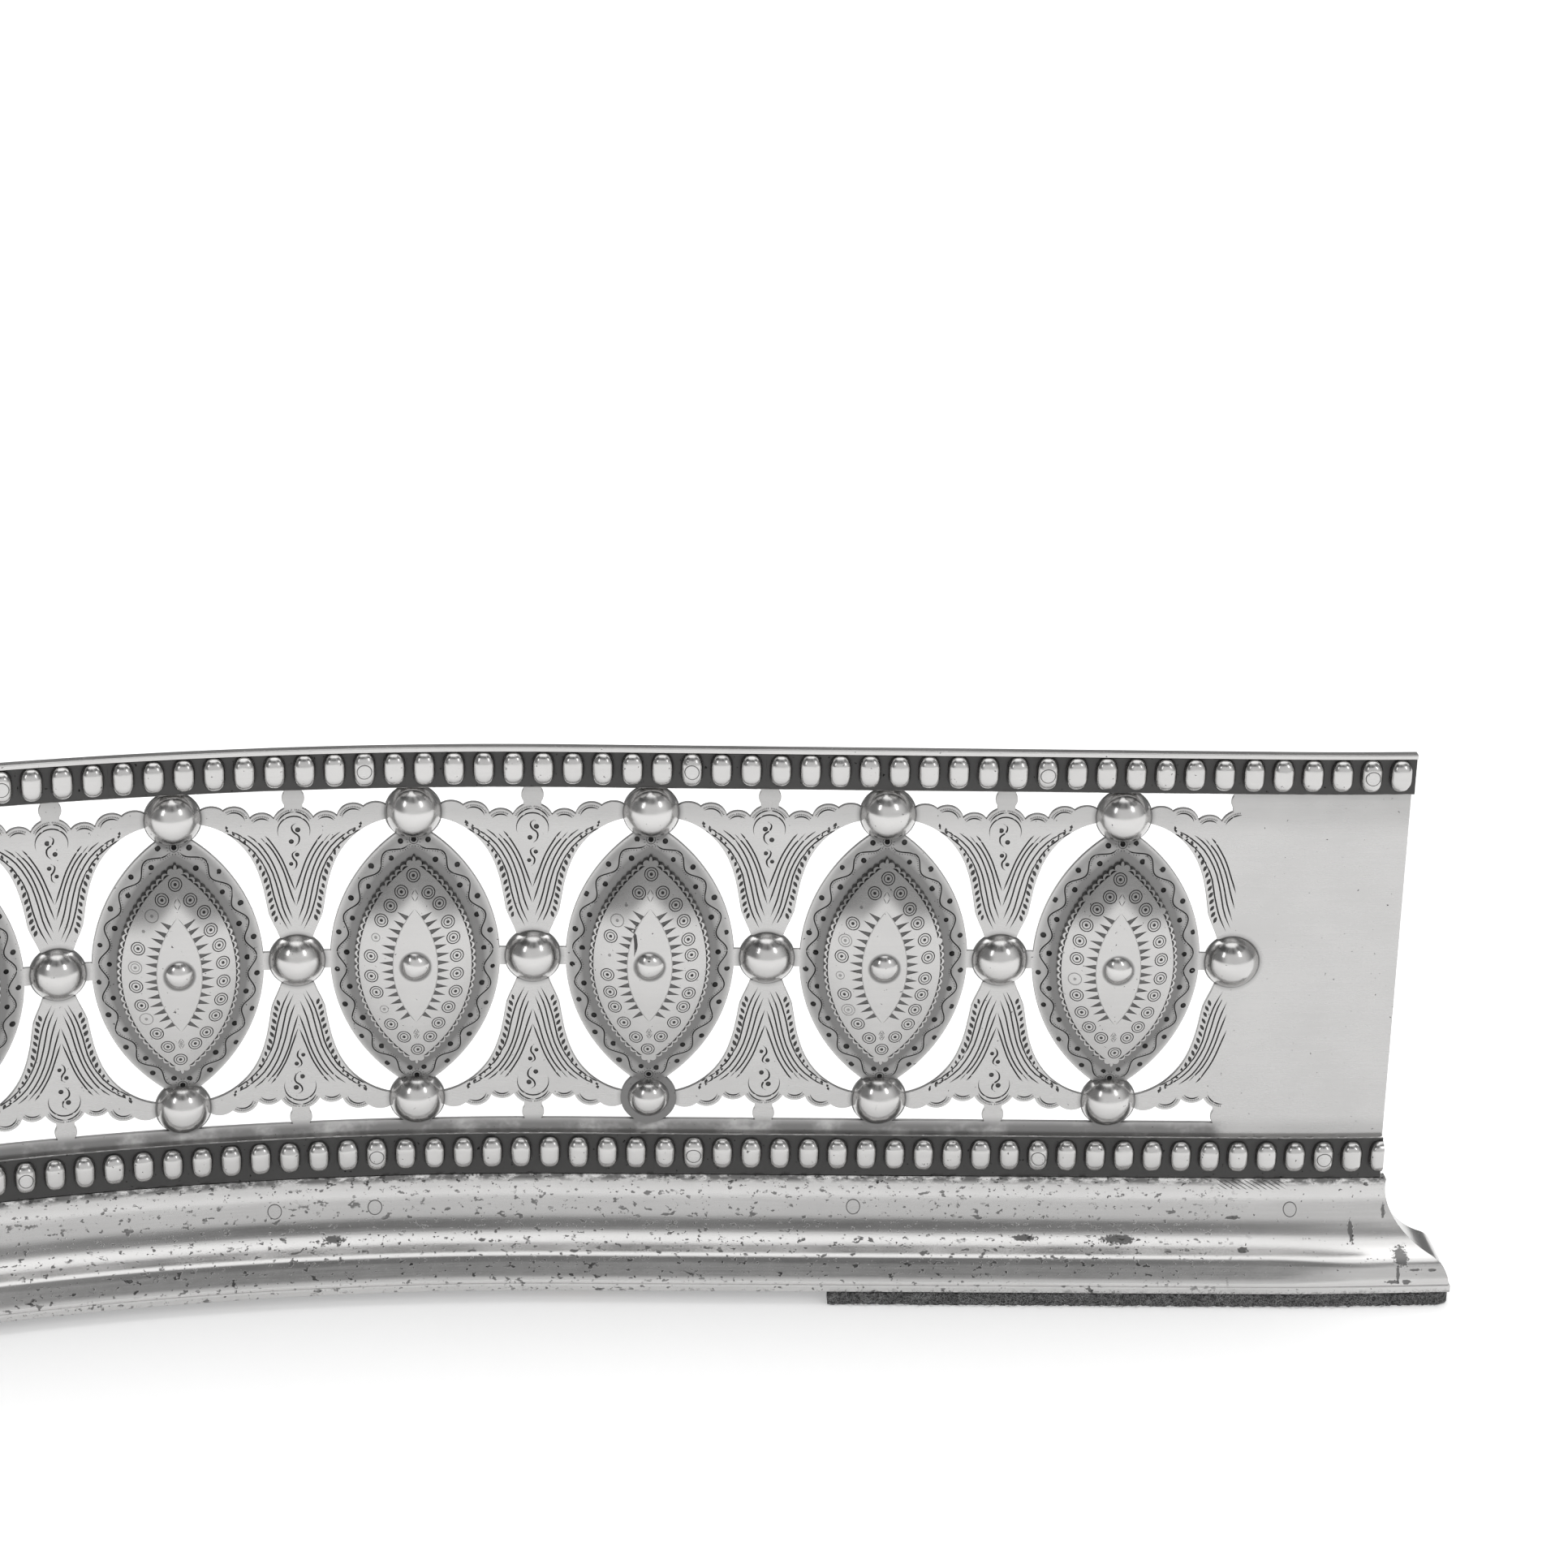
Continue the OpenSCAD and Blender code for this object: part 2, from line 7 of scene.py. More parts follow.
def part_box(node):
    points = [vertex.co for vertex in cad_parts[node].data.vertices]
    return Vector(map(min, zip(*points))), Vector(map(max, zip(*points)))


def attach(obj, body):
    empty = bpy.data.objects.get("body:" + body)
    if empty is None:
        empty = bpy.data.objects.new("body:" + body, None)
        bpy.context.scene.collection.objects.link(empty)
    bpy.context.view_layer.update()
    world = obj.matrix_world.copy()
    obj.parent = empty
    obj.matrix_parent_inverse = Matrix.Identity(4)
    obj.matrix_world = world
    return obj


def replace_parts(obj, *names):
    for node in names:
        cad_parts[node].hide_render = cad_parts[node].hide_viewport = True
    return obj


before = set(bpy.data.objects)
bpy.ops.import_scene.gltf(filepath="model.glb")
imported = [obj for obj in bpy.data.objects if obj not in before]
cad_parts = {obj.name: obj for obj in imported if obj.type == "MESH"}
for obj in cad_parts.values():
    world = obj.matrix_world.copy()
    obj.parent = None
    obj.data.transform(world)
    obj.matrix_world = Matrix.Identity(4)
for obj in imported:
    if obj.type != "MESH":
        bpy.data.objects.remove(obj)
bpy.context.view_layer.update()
chance = np.random.default_rng(1878)

# ---- Frieze ----
# One strip of 1.6 mm steel plate, pierced with a saw: fifteen pointed ovals with four openings
# round each, scalloped slots along both edges, and pairs of leaves between the ovals. It's
# engraved with a graver and punches, and bent to the fender's plan.

# The plan is bowed out in the middle, hollow on both sides of the bow, straight in the wings,
# and turned back a little at the ends. Every piece is laid out along it in millimetres: s along
# the curve from the middle, z up from the felt's underside, and o out of the frieze's face
bow_radius = 503
hollow_radius = 798
end_radius = 945
end_length = 51
turn = np.radians(17)
half_length = 679.6
bow_end = bow_radius * turn
hollow_end = bow_end + hollow_radius * turn
wing_end = half_length - end_length
face_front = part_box("frieze_plate")[0].y * 1000


def by_stretch(t, bow, hollow, wing, end):
    """Picks the value for the stretch of the plan that lies t from the middle."""
    return np.select([t < bow_end, t < hollow_end, t < wing_end], [bow, hollow, wing], end)


def heading(s):
    """The angle that the face has turned through at s, in radians."""
    t = np.abs(s)
    hollow = turn - (t - bow_end) / hollow_radius
    return np.sign(s) * by_stretch(t, t / bow_radius, hollow, 0 * t, (t - wing_end) / end_radius)


def stand(s, z, o):
    """Where laid-out points stand in the room, in metres."""
    s, z, o = np.broadcast_arrays(np.asarray(s, float), z, o)
    t, h = np.abs(s), np.abs(heading(s))
    both = bow_radius + hollow_radius
    wing_x = both * np.sin(turn) - hollow_end
    wing_y = both * (1 - np.cos(turn))
    x = by_stretch(
        t,
        bow_radius * np.sin(h),
        both * np.sin(turn) - hollow_radius * np.sin(h),
        wing_x + t,
        wing_x + wing_end + end_radius * np.sin(h),
    )
    y = by_stretch(
        t,
        bow_radius * (1 - np.cos(h)),
        bow_radius - both * np.cos(turn) + hollow_radius * np.cos(h),
        wing_y + 0 * t,
        wing_y + end_radius * (1 - np.cos(h)),
    )
    x = np.sign(s) * x + o * np.sin(heading(s))
    y = face_front + y - o * np.cos(heading(s))
    return np.stack([x, y, z], -1) / 1000


def lean(s, slope_s, slope_z):
    """The outward normal at s of a surface whose o rises by these slopes along s and z."""
    h = heading(s)
    normal = np.stack(
        [np.sin(h) - slope_s * np.cos(h), -np.cos(h) - slope_s * np.sin(h), -slope_z + 0 * h], -1
    )
    return normal / np.linalg.norm(normal, axis=-1, keepdims=True)


def piece(name, finish, points, faces, laid, grime_and_shade=None, normals=None, crisp=40):
    """A mesh on the fender's one body. laid holds each point's s, z and o, and the list after it
    how far old polish, soot and painted shade darken the point, from 0 to 1. Folds over crisp
    degrees are seen as edges."""
    mesh = bpy.data.meshes.new(name)
    mesh.from_pydata(np.asarray(points).tolist(), [], faces)
    where = mesh.attributes.new("laid", "FLOAT_VECTOR", "POINT")
    where.data.foreach_set("vector", (np.asarray(laid) / 1000).astype(np.float32).ravel())
    grime_and_shade = np.zeros(len(points)) if grime_and_shade is None else grime_and_shade
    domain = "POINT" if len(grime_and_shade) == len(points) else "CORNER"
    dirt = mesh.attributes.new("grime_and_shade", "FLOAT", domain)
    dirt.data.foreach_set("value", np.asarray(grime_and_shade, np.float32))
    mesh.shade_smooth()
    if normals is None:
        mesh.set_sharp_from_angle(angle=np.radians(crisp))
    else:
        mesh.normals_split_custom_set(normals.tolist())
    mesh.materials.append(finish.material)
    thing = bpy.data.objects.new(name, mesh)
    bpy.context.scene.collection.objects.link(thing)
    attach(thing, "root")
    return thing


# All the steel has been polished by hand for a century: bright where a cloth reaches,
# brown-black in every cut and corner, with fine wiping scratches and small rust pits. Round
# the beads' feet that darkening is painted shade.


def operator(name, swapped=False):
    """A method of Wire that adds a Math node to its two values."""
    return lambda a, b: a.math(name, b, a) if swapped else a.math(name, a, b)


class Wire:
    """An output of a shader node. Arithmetic on it adds the nodes that work it out."""

    __add__ = __radd__ = operator("ADD")
    __sub__ = operator("SUBTRACT")
    __rsub__ = operator("SUBTRACT", True)
    __mul__ = __rmul__ = operator("MULTIPLY")
    __truediv__ = operator("DIVIDE")
    __pow__ = operator("POWER")

    def __init__(self, nodes, socket):
        self.nodes = nodes
        self.socket = socket

    def math(self, operation, *values):
        return self.nodes.add("Math", {"operation": operation}, dict(enumerate(values)))

    def __abs__(self):
        return self.math("ABSOLUTE", self)

    def rise(self, low, high):
        """0 below low, 1 above high, and a smooth rise between. With low over high it falls."""
        if low > high:
            return 1 - self.rise(high, low)
        return self.nodes.add(
            "MapRange",
            {"interpolation_type": "SMOOTHSTEP"},
            {"Value": self, "From Min": low, "From Max": high},
        )


class Nodes:
    """Shader nodes. add() puts one in and gives one of its outputs."""

    def __init__(self, tree):
        self.tree = tree

    def add(self, kind, settings, inputs, out=0):
        node = self.tree.nodes.new("ShaderNode" + kind)
        for name, value in settings.items():
            setattr(node, name, value)
        for name, value in inputs.items():
            self.feed(node.inputs[name], value)
        return Wire(self, node.outputs[out])

    def feed(self, socket, value):
        if isinstance(value, Wire):
            self.tree.links.new(value.socket, socket)
        else:
            socket.default_value = value

    def split(self, vector):
        return [self.add("SeparateXYZ", {}, {0: vector}, out) for out in range(3)]

    def noise(self, place, scale, detail=3.0, roughness=0.55):
        inputs = {"Vector": place, "Scale": scale, "Detail": detail, "Roughness": roughness}
        return self.add("TexNoise", {}, inputs)

    def clamp(self, value):
        return self.add("Clamp", {}, {"Value": value})


class Finish(Nodes):
    """A material."""

    def __init__(self, name, metal, roughness):
        self.material = bpy.data.materials.new(name)
        self.material.use_nodes = True
        super().__init__(self.material.node_tree)
        self.surface = self.tree.nodes["Principled BSDF"]
        self.surface.inputs["Metallic"].default_value = metal
        self.surface.inputs["Roughness"].default_value = roughness

    def paint(self, colour, roughness, height, depth):
        """Gives the surface its colour, roughness and small relief, depth metres deep."""
        self.feed(self.surface.inputs["Base Color"], colour)
        self.feed(self.surface.inputs["Roughness"], roughness)
        bump = self.add("Bump", {}, {"Height": height, "Distance": depth})
        self.feed(self.surface.inputs["Normal"], bump)

    def colour(self, red, green, blue):
        return self.add("CombineColor", {}, {0: red, 1: green, 2: blue})

    def grey(self, value, warmth=0.0):
        return self.colour(value * (1 + warmth), value, value * (1 - warmth))

    def read(self, name):
        return self.add("Attribute", {"attribute_name": name}, {}, "Fac")

    def laid(self, stretch=(1, 1, 1)):
        """The laid-out place, in metres, squeezed along s, z and o."""
        place = self.add("Attribute", {"attribute_name": "laid"}, {}, "Vector")
        return self.add("VectorMath", {"operation": "MULTIPLY"}, {0: place, 1: stretch})

    def laid_parts(self):
        """s, z and o in millimetres."""
        return self.split(self.laid((1000, 1000, 1000)))

    def pits(self, place, scale, rare):
        """Small ragged rust pits. The rarer, from 0.6 to 0.8, the fewer."""
        return self.noise(place, scale, 2, 0.6).rise(rare, rare + 0.05)


def old_steel(name, tone, roughness, wear=1.0):
    """The common finish, and its parts for a piece that adds its own marks."""
    finish = Finish(name, 1.0, roughness)
    place = finish.laid()
    wipes = finish.noise(finish.laid((0.035, 1, 1)), 900, 4, 0.7)
    clouds = finish.noise(place, 28, 5, 0.65)
    grain = finish.noise(place, 1500, 2)
    pits = finish.pits(place, 640, 0.735 - 0.025 * wear)
    grime_and_shade = finish.read("grime_and_shade")
    shade = tone * (0.86 + 0.2 * clouds) * (0.93 + 0.13 * wipes)
    # Darker where the mesh says: old polish and soot in cuts and corners, painted shade at the
    # beads.
    shade = shade * (1 - 0.72 * pits) * (1 - 0.86 * grime_and_shade)
    rough = roughness + 0.10 * (clouds - 0.5) + 0.12 * (wipes - 0.5) + 0.3 * grime_and_shade + 0.3 * pits
    height = 0.25 * wipes + 0.1 * grain - 0.8 * pits
    return finish, shade, rough, height


# The frieze's own sizes
pitch = 82.7
half_bay = pitch / 2
ovals = range(-7, 8)
bays_end = 7.5 * pitch
centre_z = 125.8
plate_bottom = 6.6
plate_top = 204.8
plate_thick = 1.6
ball_y = 55
ring_a = 29.6
ring_b = 50.9
boss_a = 21.5
boss_b = 40


def round_about(x, y, radius, steps, first=0.0, last=2 * np.pi):
    angle = np.linspace(first, last, steps + 1)
    return np.stack([x + radius * np.cos(angle), y + radius * np.sin(angle)], 1)


def oval_radius(a, b):
    """The radius of the sides of a pointed oval that is 2a wide and 2b tall."""
    return (a * a + b * b) / (2 * a)


def pointed_oval(a, b, steps):
    """The right half of a pointed oval, from its foot to its top."""
    radius = oval_radius(a, b)
    reach = np.arcsin(b / radius)
    angle = np.linspace(-reach, reach, steps + 1)
    return np.stack([a - radius + radius * np.cos(angle), radius * np.sin(angle)], 1)


def oval_gap(x, y, a, b):
    """How far a place lies outside a pointed oval, in numbers or in wires."""
    radius = oval_radius(a, b)
    return ((abs(x) + radius - a) ** 2 + y**2) ** 0.5 - radius


def placed(points, s, m=1, n=1):
    """Points measured from an oval's centre, laid out round s. With m or n of -1 they're
    mirrored."""
    return np.asarray(points, float) * (m, n) + (s, centre_z)


def lengths(path):
    """How far along a path each of its points lies."""
    return np.concatenate([[0], np.cumsum(np.hypot(*np.diff(path, axis=0).T))])


def bezier(corners, steps):
    a, b, c, d = np.array(corners, float)
    t = np.linspace(0, 1, steps + 1)[:, None]
    u = 1 - t
    return u**3 * a + 3 * u * u * t * b + 3 * u * t * t * c + t**3 * d


def smooth_through(points, steps):
    """A smooth line through points."""
    points = np.array(points, float)
    t = np.linspace(0, len(points) - 1, steps)
    i = np.minimum(t.astype(int), len(points) - 2)
    f = (t - i)[:, None]
    padded = np.vstack([2 * points[0] - points[1], points, 2 * points[-1] - points[-2]])
    a, b, c, d = (padded[i + k] for k in range(4))
    bend = 2 * a - 5 * b + 4 * c - d
    return 0.5 * (2 * b + (c - a) * f + bend * f**2 + (3 * b - a - 3 * c + d) * f**3)


def wobble(size):
    return chance.normal(0, size)


class Cuts:
    """Cuts on a flat layout. Each has an outline on the surface and a floor line below it."""

    def __init__(self):
        self.parts = []

    def add(self, points, edges, sinks):
        points = np.array(points, float)
        self.parts.append((points, edges, np.array(sinks, float), points.min(0), points.max(0)))

    def loops(self, paths, sinks):
        """Closed lines inside each other, each with how far it is sunk."""
        n = len(paths[0])
        edges = [(k * n + i, k * n + (i + 1) % n) for k in range(len(paths)) for i in range(n)]
        self.add(np.vstack(paths), edges, np.repeat(sinks, n))

    def mark(self, path):
        """A line that only gives the mesh an edge to follow."""
        self.add(path, [(i, i + 1) for i in range(len(path) - 1)], np.zeros(len(path)))

    def mark_round(self, x, y, radius, steps):
        self.loops([round_about(x, y, radius, steps)[:-1]], [0])

    def line(self, path, width, depth, blunt=0.3):
        """A graver's cut, pointed at both ends."""
        path = np.array(path, float)
        n = len(path)
        along = np.gradient(path, axis=0)
        side = np.stack([-along[:, 1], along[:, 0]], 1) / np.hypot(*along.T)[:, None]
        part = np.linspace(0, 1, n)
        swell = np.minimum(1, np.minimum(part, 1 - part) / blunt)[:, None] * 0.85 + 0.15
        left = (path + side * swell * width / 2)[1:-1]
        right = (path - side * swell * width / 2)[1:-1]
        m = n - 2
        edges = [(i, i + 1) for i in range(n - 1)]
        for start in (n, n + m):
            chain = [0, *range(start, start + m), n - 1]
            edges += list(zip(chain, chain[1:]))
        sinks = np.zeros(n + 2 * m)
        sinks[1 : n - 1] = depth * swell[1:-1, 0]
        self.add(np.vstack([path, left, right]), edges, sinks)

    def dot(self, centre, radius, depth, steps=10):
        """A punched dot with a flat floor."""
        radii = (radius, radius * 0.62)
        self.loops([round_about(*centre, r, steps)[:-1] for r in radii], (0, depth))

    def chisel(self, corners, depth):
        """A cut between three corners with a flat floor."""
        self.loops([corners, corners * 0.7 + corners.mean(0) * 0.3], (0, depth))

    def circle(self, centre, radius, width, depth, steps=14):
        """A ring punch's mark."""
        radii = (radius + width / 2, radius, radius - width / 2)
        self.loops([round_about(*centre, r, steps)[:-1] for r in radii], (0, depth, 0))

    def sheet(self, low, high, keep):
        """Triangles of the part of the layout between two corners that keep() keeps, with how
        far each point is sunk."""
        points = [np.array([low, (high[0], low[1]), high, (low[0], high[1])], float)]
        edges = [(0, 1), (1, 2), (2, 3), (3, 0)]
        sinks = [np.zeros(4)]
        count = 4
        for part, its_edges, its_sinks, its_low, its_high in self.parts:
            if (its_high < low).any() or (its_low > high).any():
                continue
            points.append(part)
            sinks.append(its_sinks)
            edges += [(a + count, b + count) for a, b in its_edges]
            count += len(part)
        sinks = np.concatenate(sinks)
        where, lines, faces, from_point, from_line, _ = delaunay_2d_cdt(
            [Vector(p) for p in np.vstack(points).tolist()], edges, [], 0, 1e-5, True
        )
        where = np.array([tuple(p) for p in where])
        sunk = np.array([max((sinks[i] for i in ids), default=-1.0) for ids in from_point])
        for (a, b), ids in zip(lines, from_line):
            if ids and (sunk[a] < 0 or sunk[b] < 0):
                depth = max(min(sinks[j] for j in edges[i]) for i in ids if i < len(edges))
                for end in (a, b):
                    if from_point[end] == []:
                        sunk[end] = max(sunk[end], depth)
        faces = np.array(faces)
        middle = where[faces].mean(1)
        inside = (middle > low).all(1) & (middle < high).all(1) & keep(*middle.T)
        return where, faces[inside], np.maximum(sunk, 0)


# The saw's outline in a bay, from its oval's centre: the discs under the studs, the bridges
# beside the ring, the slots along both edges, the necks that cross them, and the leaves' edge
disc_radius = 9.9
bridge = 3.2
neck_half = 3
top_slot = 64.7
low_slot = 63.6
slots = ((1, top_slot), (-1, low_slot))
slot_floor = 53.2
neck = (half_bay, 61, 3.75)
lobes = [neck, (half_bay, 50.2, 7.6), (30.3, 50.2, 5.4), (20.8, 52.6, 5.7), (13, 52.2, 6.5)]
leaf_foot = 8.6
leaf_top = (8.6, 52.8)
leaf_edge = np.vstack([
    bezier([(35.8, leaf_foot), (34.9, 11.8), (33.2, 14.6), (32.1, 18)], 6)[:-1],
    bezier([(32.1, 18), (31, 24), (30.7, 28.5), (28.4, 35)], 8)[:-1],
    bezier([(28.4, 35), (25.6, 43), (19, 51), leaf_top], 14)[:-1],
    leaf_top,
])


def is_metal(x, y):
    """Whether a point of a bay, from its oval's centre, is left standing by the saw."""
    x, v = np.abs(x), np.abs(y)
    over = np.where(y > 0, top_slot, low_slot)
    edge = np.where(v < leaf_foot, half_bay, np.interp(v, leaf_edge[:, 1], leaf_edge[:, 0]))

    def within(cx, cy, radius):
        return np.hypot(x - cx, v - cy) < radius

    ball = within(0, ball_y, disc_radius)
    opening = (v > bridge) & (v < leaf_top[1]) & (x < edge)
    opening &= ~(oval_gap(x, y, ring_a, ring_b) < 0) & ~within(half_bay, 0, disc_radius) & ~ball
    slot = (v > slot_floor) & (v < over) & (x < half_bay - neck_half) & ~ball
    for lobe in lobes:
        slot &= ~within(*lobe)
    return ~(opening | slot)


def saw_lines(cuts, s):
    """The outlines that the saw follows in the bay at s."""
    for m in (-1, 1):
        cuts.mark(placed(pointed_oval(ring_a, ring_b, 64), s, m))
        cuts.mark_round(s + m * half_bay, centre_z, disc_radius, 52)
        for n, over in slots:
            for cx, cy, radius in lobes:
                cuts.mark_round(s + m * cx, centre_z + n * cy, radius, 40)
            cuts.mark(placed(leaf_edge, s, m, n))
            side = half_bay - neck_half
            cuts.mark(placed([(side, slot_floor), (side, over)], s, m, n))
    for n, over in slots:
        cuts.mark_round(s, centre_z + n * ball_y, disc_radius, 52)
        for y in (bridge, over):
            cuts.mark(placed([(-half_bay, y), (half_bay, y)], s, 1, n))


def crown(x, y):
    """The ring round a boss is hammered up from behind: its rise above the plate."""
    crown_rise, edge_share, side_radius = 2, 0.35, 58.5
    level = ((np.abs(x) + side_radius - ring_a) ** 2 + y**2) / side_radius**2
    part = np.clip((1 - level) / edge_share, 0, 1)
    return crown_rise * (1 - (1 - part) ** 2)


fine_cut = (0.3, 0.16)
punched = 0.35


def engrave_ring(cuts, s):
    """Dots in and out of a wriggled line all round the ring, and a rayed dot at both ends."""
    middle_line = pointed_oval(25.8, 46.2, 400)
    length = lengths(middle_line)
    dots_apart, off_line, swing, side_centre = 6.75, 1.7, 1.6, 40

    def outward(x, y):
        return np.array([x + side_centre, y]) / np.hypot(x + side_centre, y)

    for m in (-1, 1):
        first = 4.2 + chance.uniform(0, 1)
        for k, spot in enumerate(np.arange(first, length[-1] - 3.5, dots_apart)):
            x, y = (np.interp(spot + wobble(0.25), length, middle_line[:, i]) for i in (0, 1))
            out = (off_line if k % 2 else -off_line) + wobble(0.2)
            here = (x, y) + out * outward(x, y)
            cuts.dot(placed(here, s, m), 1.02 + wobble(0.05), punched)
        wriggle = []
        for spot in np.arange(3.0, length[-1] - 3, 0.72):
            x, y = (np.interp(spot, length, middle_line[:, i]) for i in (0, 1))
            wave = (spot - first) / dots_apart * np.pi
            out = outward(x, y)
            here = (x, y) + out * swing * np.cos(wave)
            wriggle.append(here)
            slope = -swing * np.pi / dots_apart * np.sin(wave)
            along = np.array([-out[1], out[0]]) + out * slope
            across = np.array([-along[1], along[0]]) / np.hypot(*along)
            tick = [here + r * across for r in (0.36, 0.65, 0.98 + wobble(0.06))]
            if chance.random() < 0.8:
                cuts.line(placed(tick, s, m), *fine_cut)
        cuts.line(placed(wriggle, s, m), 0.46, 0.2, 0.02)
    for n in (-1, 1):
        here = (s, centre_z + n * 45.2)
        cuts.dot(here, 0.95, punched)
        cuts.circle(here, 1.55, 0.25, 0.12)
        for angle in np.arange(0, 2 * np.pi, np.pi / 7):
            ray = round_about(*here, 1, 1, angle, angle)[0] - here
            cuts.line([here + ray * r for r in (2.0, 2.4, 2.8)], 0.3, 0.14)


# What is engraved on a leaf, from the middle ball's centre: the hatched arcs that follow its
# scallops, its flowing lines, and between its halves two scrolls with two dots each
arcs = [((0, 50.2), 7.6, 26, 90), ((11.05, 50.2), 5.4, 41, 128), ((20.55, 52.6), 5.7, 56, 164)]
flow = [
    [(2.6, 11.4), (5.4, 17.5), (7.5, 25), (9.3, 33), (13.6, 41.2), (20.5, 47.4), (27.0, 50.2)],
    [(1.5, 12.6), (4.2, 19), (6.0, 27), (8.3, 35), (12.6, 42.6), (18.2, 47.6), (23.2, 50.4)],
    [(0.7, 15.4), (3.0, 22), (4.9, 30), (7.7, 38), (11.8, 44.6), (17.2, 49.2)],
    [(0.2, 20.4), (2.2, 27), (4.4, 34.6), (7.8, 41.8), (12.6, 47.6)],
    [(0.1, 26.2), (2.1, 32), (4.6, 38.8), (8.0, 44.8), (10.2, 47.6)],
]
scrolls = [
    [(0.9, 52.0), (-0.7, 50.6), (-0.2, 48.6), (1.7, 46.9), (1.6, 44.6), (0.1, 43.0)],
    [(0.9, 41.6), (-0.7, 40.4), (-0.3, 38.6), (0.7, 37.2), (0.5, 35.4), (-0.6, 34.2)],
]
scroll_dots = [(1.5, 49.2, 0.95), (-1.0, 45.0, 0.9), (1.0, 39.9, 0.8), (-1.2, 36.6, 0.75)]


def engrave_leaf(cuts, s, up, halves=(-1, 1)):
    """One leaf, above or below the middle ball at s."""
    for m in halves:
        for (cx, cy), radius, first, last in arcs:
            first, last = np.radians(first), np.radians(last)
            inner = round_about(cx, cy, radius - 1.75, 10, first - 0.12, last + 0.12)
            cuts.line(placed(inner, s, m, up), 0.52, 0.24)
            for angle in np.arange(first + 0.05, last - 0.02, 0.62 / radius):
                ray = np.array([np.cos(angle), np.sin(angle)])
                tick = [(cx, cy) + ray * (radius - r) for r in (1.45, 1.0, 0.45)]
                cuts.line(placed(tick, s, m, up), *fine_cut)
        for path in flow:
            path = smooth_through(path, 16) + chance.normal(0, 0.12, 2)
            cuts.line(placed(path, s, m, up), 0.55, 0.26, 0.14)
        edge = leaf_edge[3:]
        length = lengths(edge)
        for spot in np.arange(2.5, length[-1] - 9, 2.55):
            (x, x2), (y, y2) = (np.interp([spot, spot + 0.5], length, edge[:, i]) for i in (0, 1))
            along = np.array([x - x2, y2 - y]) / np.hypot(x - x2, y2 - y)
            inward = np.array([-along[1], along[0]])
            inward *= -1 if inward[0] > 0 else 1
            here = np.array([half_bay - x, y]) + inward * 1.5
            tilt = along * 0.9 + inward * 0.8
            gouge = [here + tilt * t for t in (-1.15, -0.4, 0.4, 1.15)]
            cuts.line(placed(gouge, s, m, up), 1.15 + wobble(0.08), 0.28)
    if len(halves) == 2:
        arch = round_about(0, 48.8, 5.6, 18, np.radians(-22), np.radians(202))
        cuts.line(placed(arch, s, 1, up), 0.54, 0.26)
        way = chance.choice([-1, 1])
        for path in scrolls:
            cuts.line(placed(smooth_through(path, 14), s, way, up), 0.62, 0.26)
        for x, y, radius in scroll_dots:
            cuts.dot(placed((x + wobble(0.1), y + wobble(0.1)), s, way, up), radius, punched)


cuts = Cuts()
for i in ovals:
    saw_lines(cuts, i * pitch)
    engrave_ring(cuts, i * pitch)
    for n in (-1, 1):
        engrave_leaf(cuts, (i - 0.5) * pitch, n, (-1, 1) if i > ovals[0] else (1,))
for n in (-1, 1):
    engrave_leaf(cuts, (ovals[-1] + 0.5) * pitch, n, (-1,))
for s in np.linspace(-half_length, half_length, 265)[1:-1]:
    cuts.mark([(s, plate_bottom), (s, plate_top)])
for i in ovals:
    for share in (0.12, 0.3, 0.55):
        level = pointed_oval(ring_a - 8.1 * share, ring_b - 10.9 * share, 40)
        for m in (-1, 1):
            cuts.mark(placed(level, i * pitch, m))


def welded(sheets):
    """Sheets of triangles joined into one, all of them facing the same way."""
    where = np.vstack([sheet[0] for sheet in sheets])
    sunk = np.concatenate([sheet[2] for sheet in sheets])
    starts = np.cumsum([0] + [len(sheet[0]) for sheet in sheets])
    faces = np.vstack([sheet[1] + start for sheet, start in zip(sheets, starts)])
    cell = np.round(where / 0.004).astype(int)
    _, first, same = np.unique(cell, axis=0, return_index=True, return_inverse=True)
    faces = same.ravel()[faces]
    whole = (faces != np.roll(faces, 1, 1)).all(1)
    used, faces = np.unique(faces[whole], return_inverse=True)
    where, sunk, faces = where[first][used], sunk[first][used], faces.reshape(-1, 3)
    corner = where[faces]
    one, two = corner[:, 1] - corner[:, 0], corner[:, 2] - corner[:, 0]
    back_to_front = one[:, 0] * two[:, 1] - one[:, 1] * two[:, 0] < 0
    faces[back_to_front] = faces[back_to_front][:, ::-1]
    return where, faces, sunk


def flat_normals(points, faces):
    one, two = points[faces[:, 1]] - points[faces[:, 0]], points[faces[:, 2]] - points[faces[:, 0]]
    normal = np.cross(one, two)
    return normal / np.maximum(np.linalg.norm(normal, axis=1, keepdims=True), 1e-12)


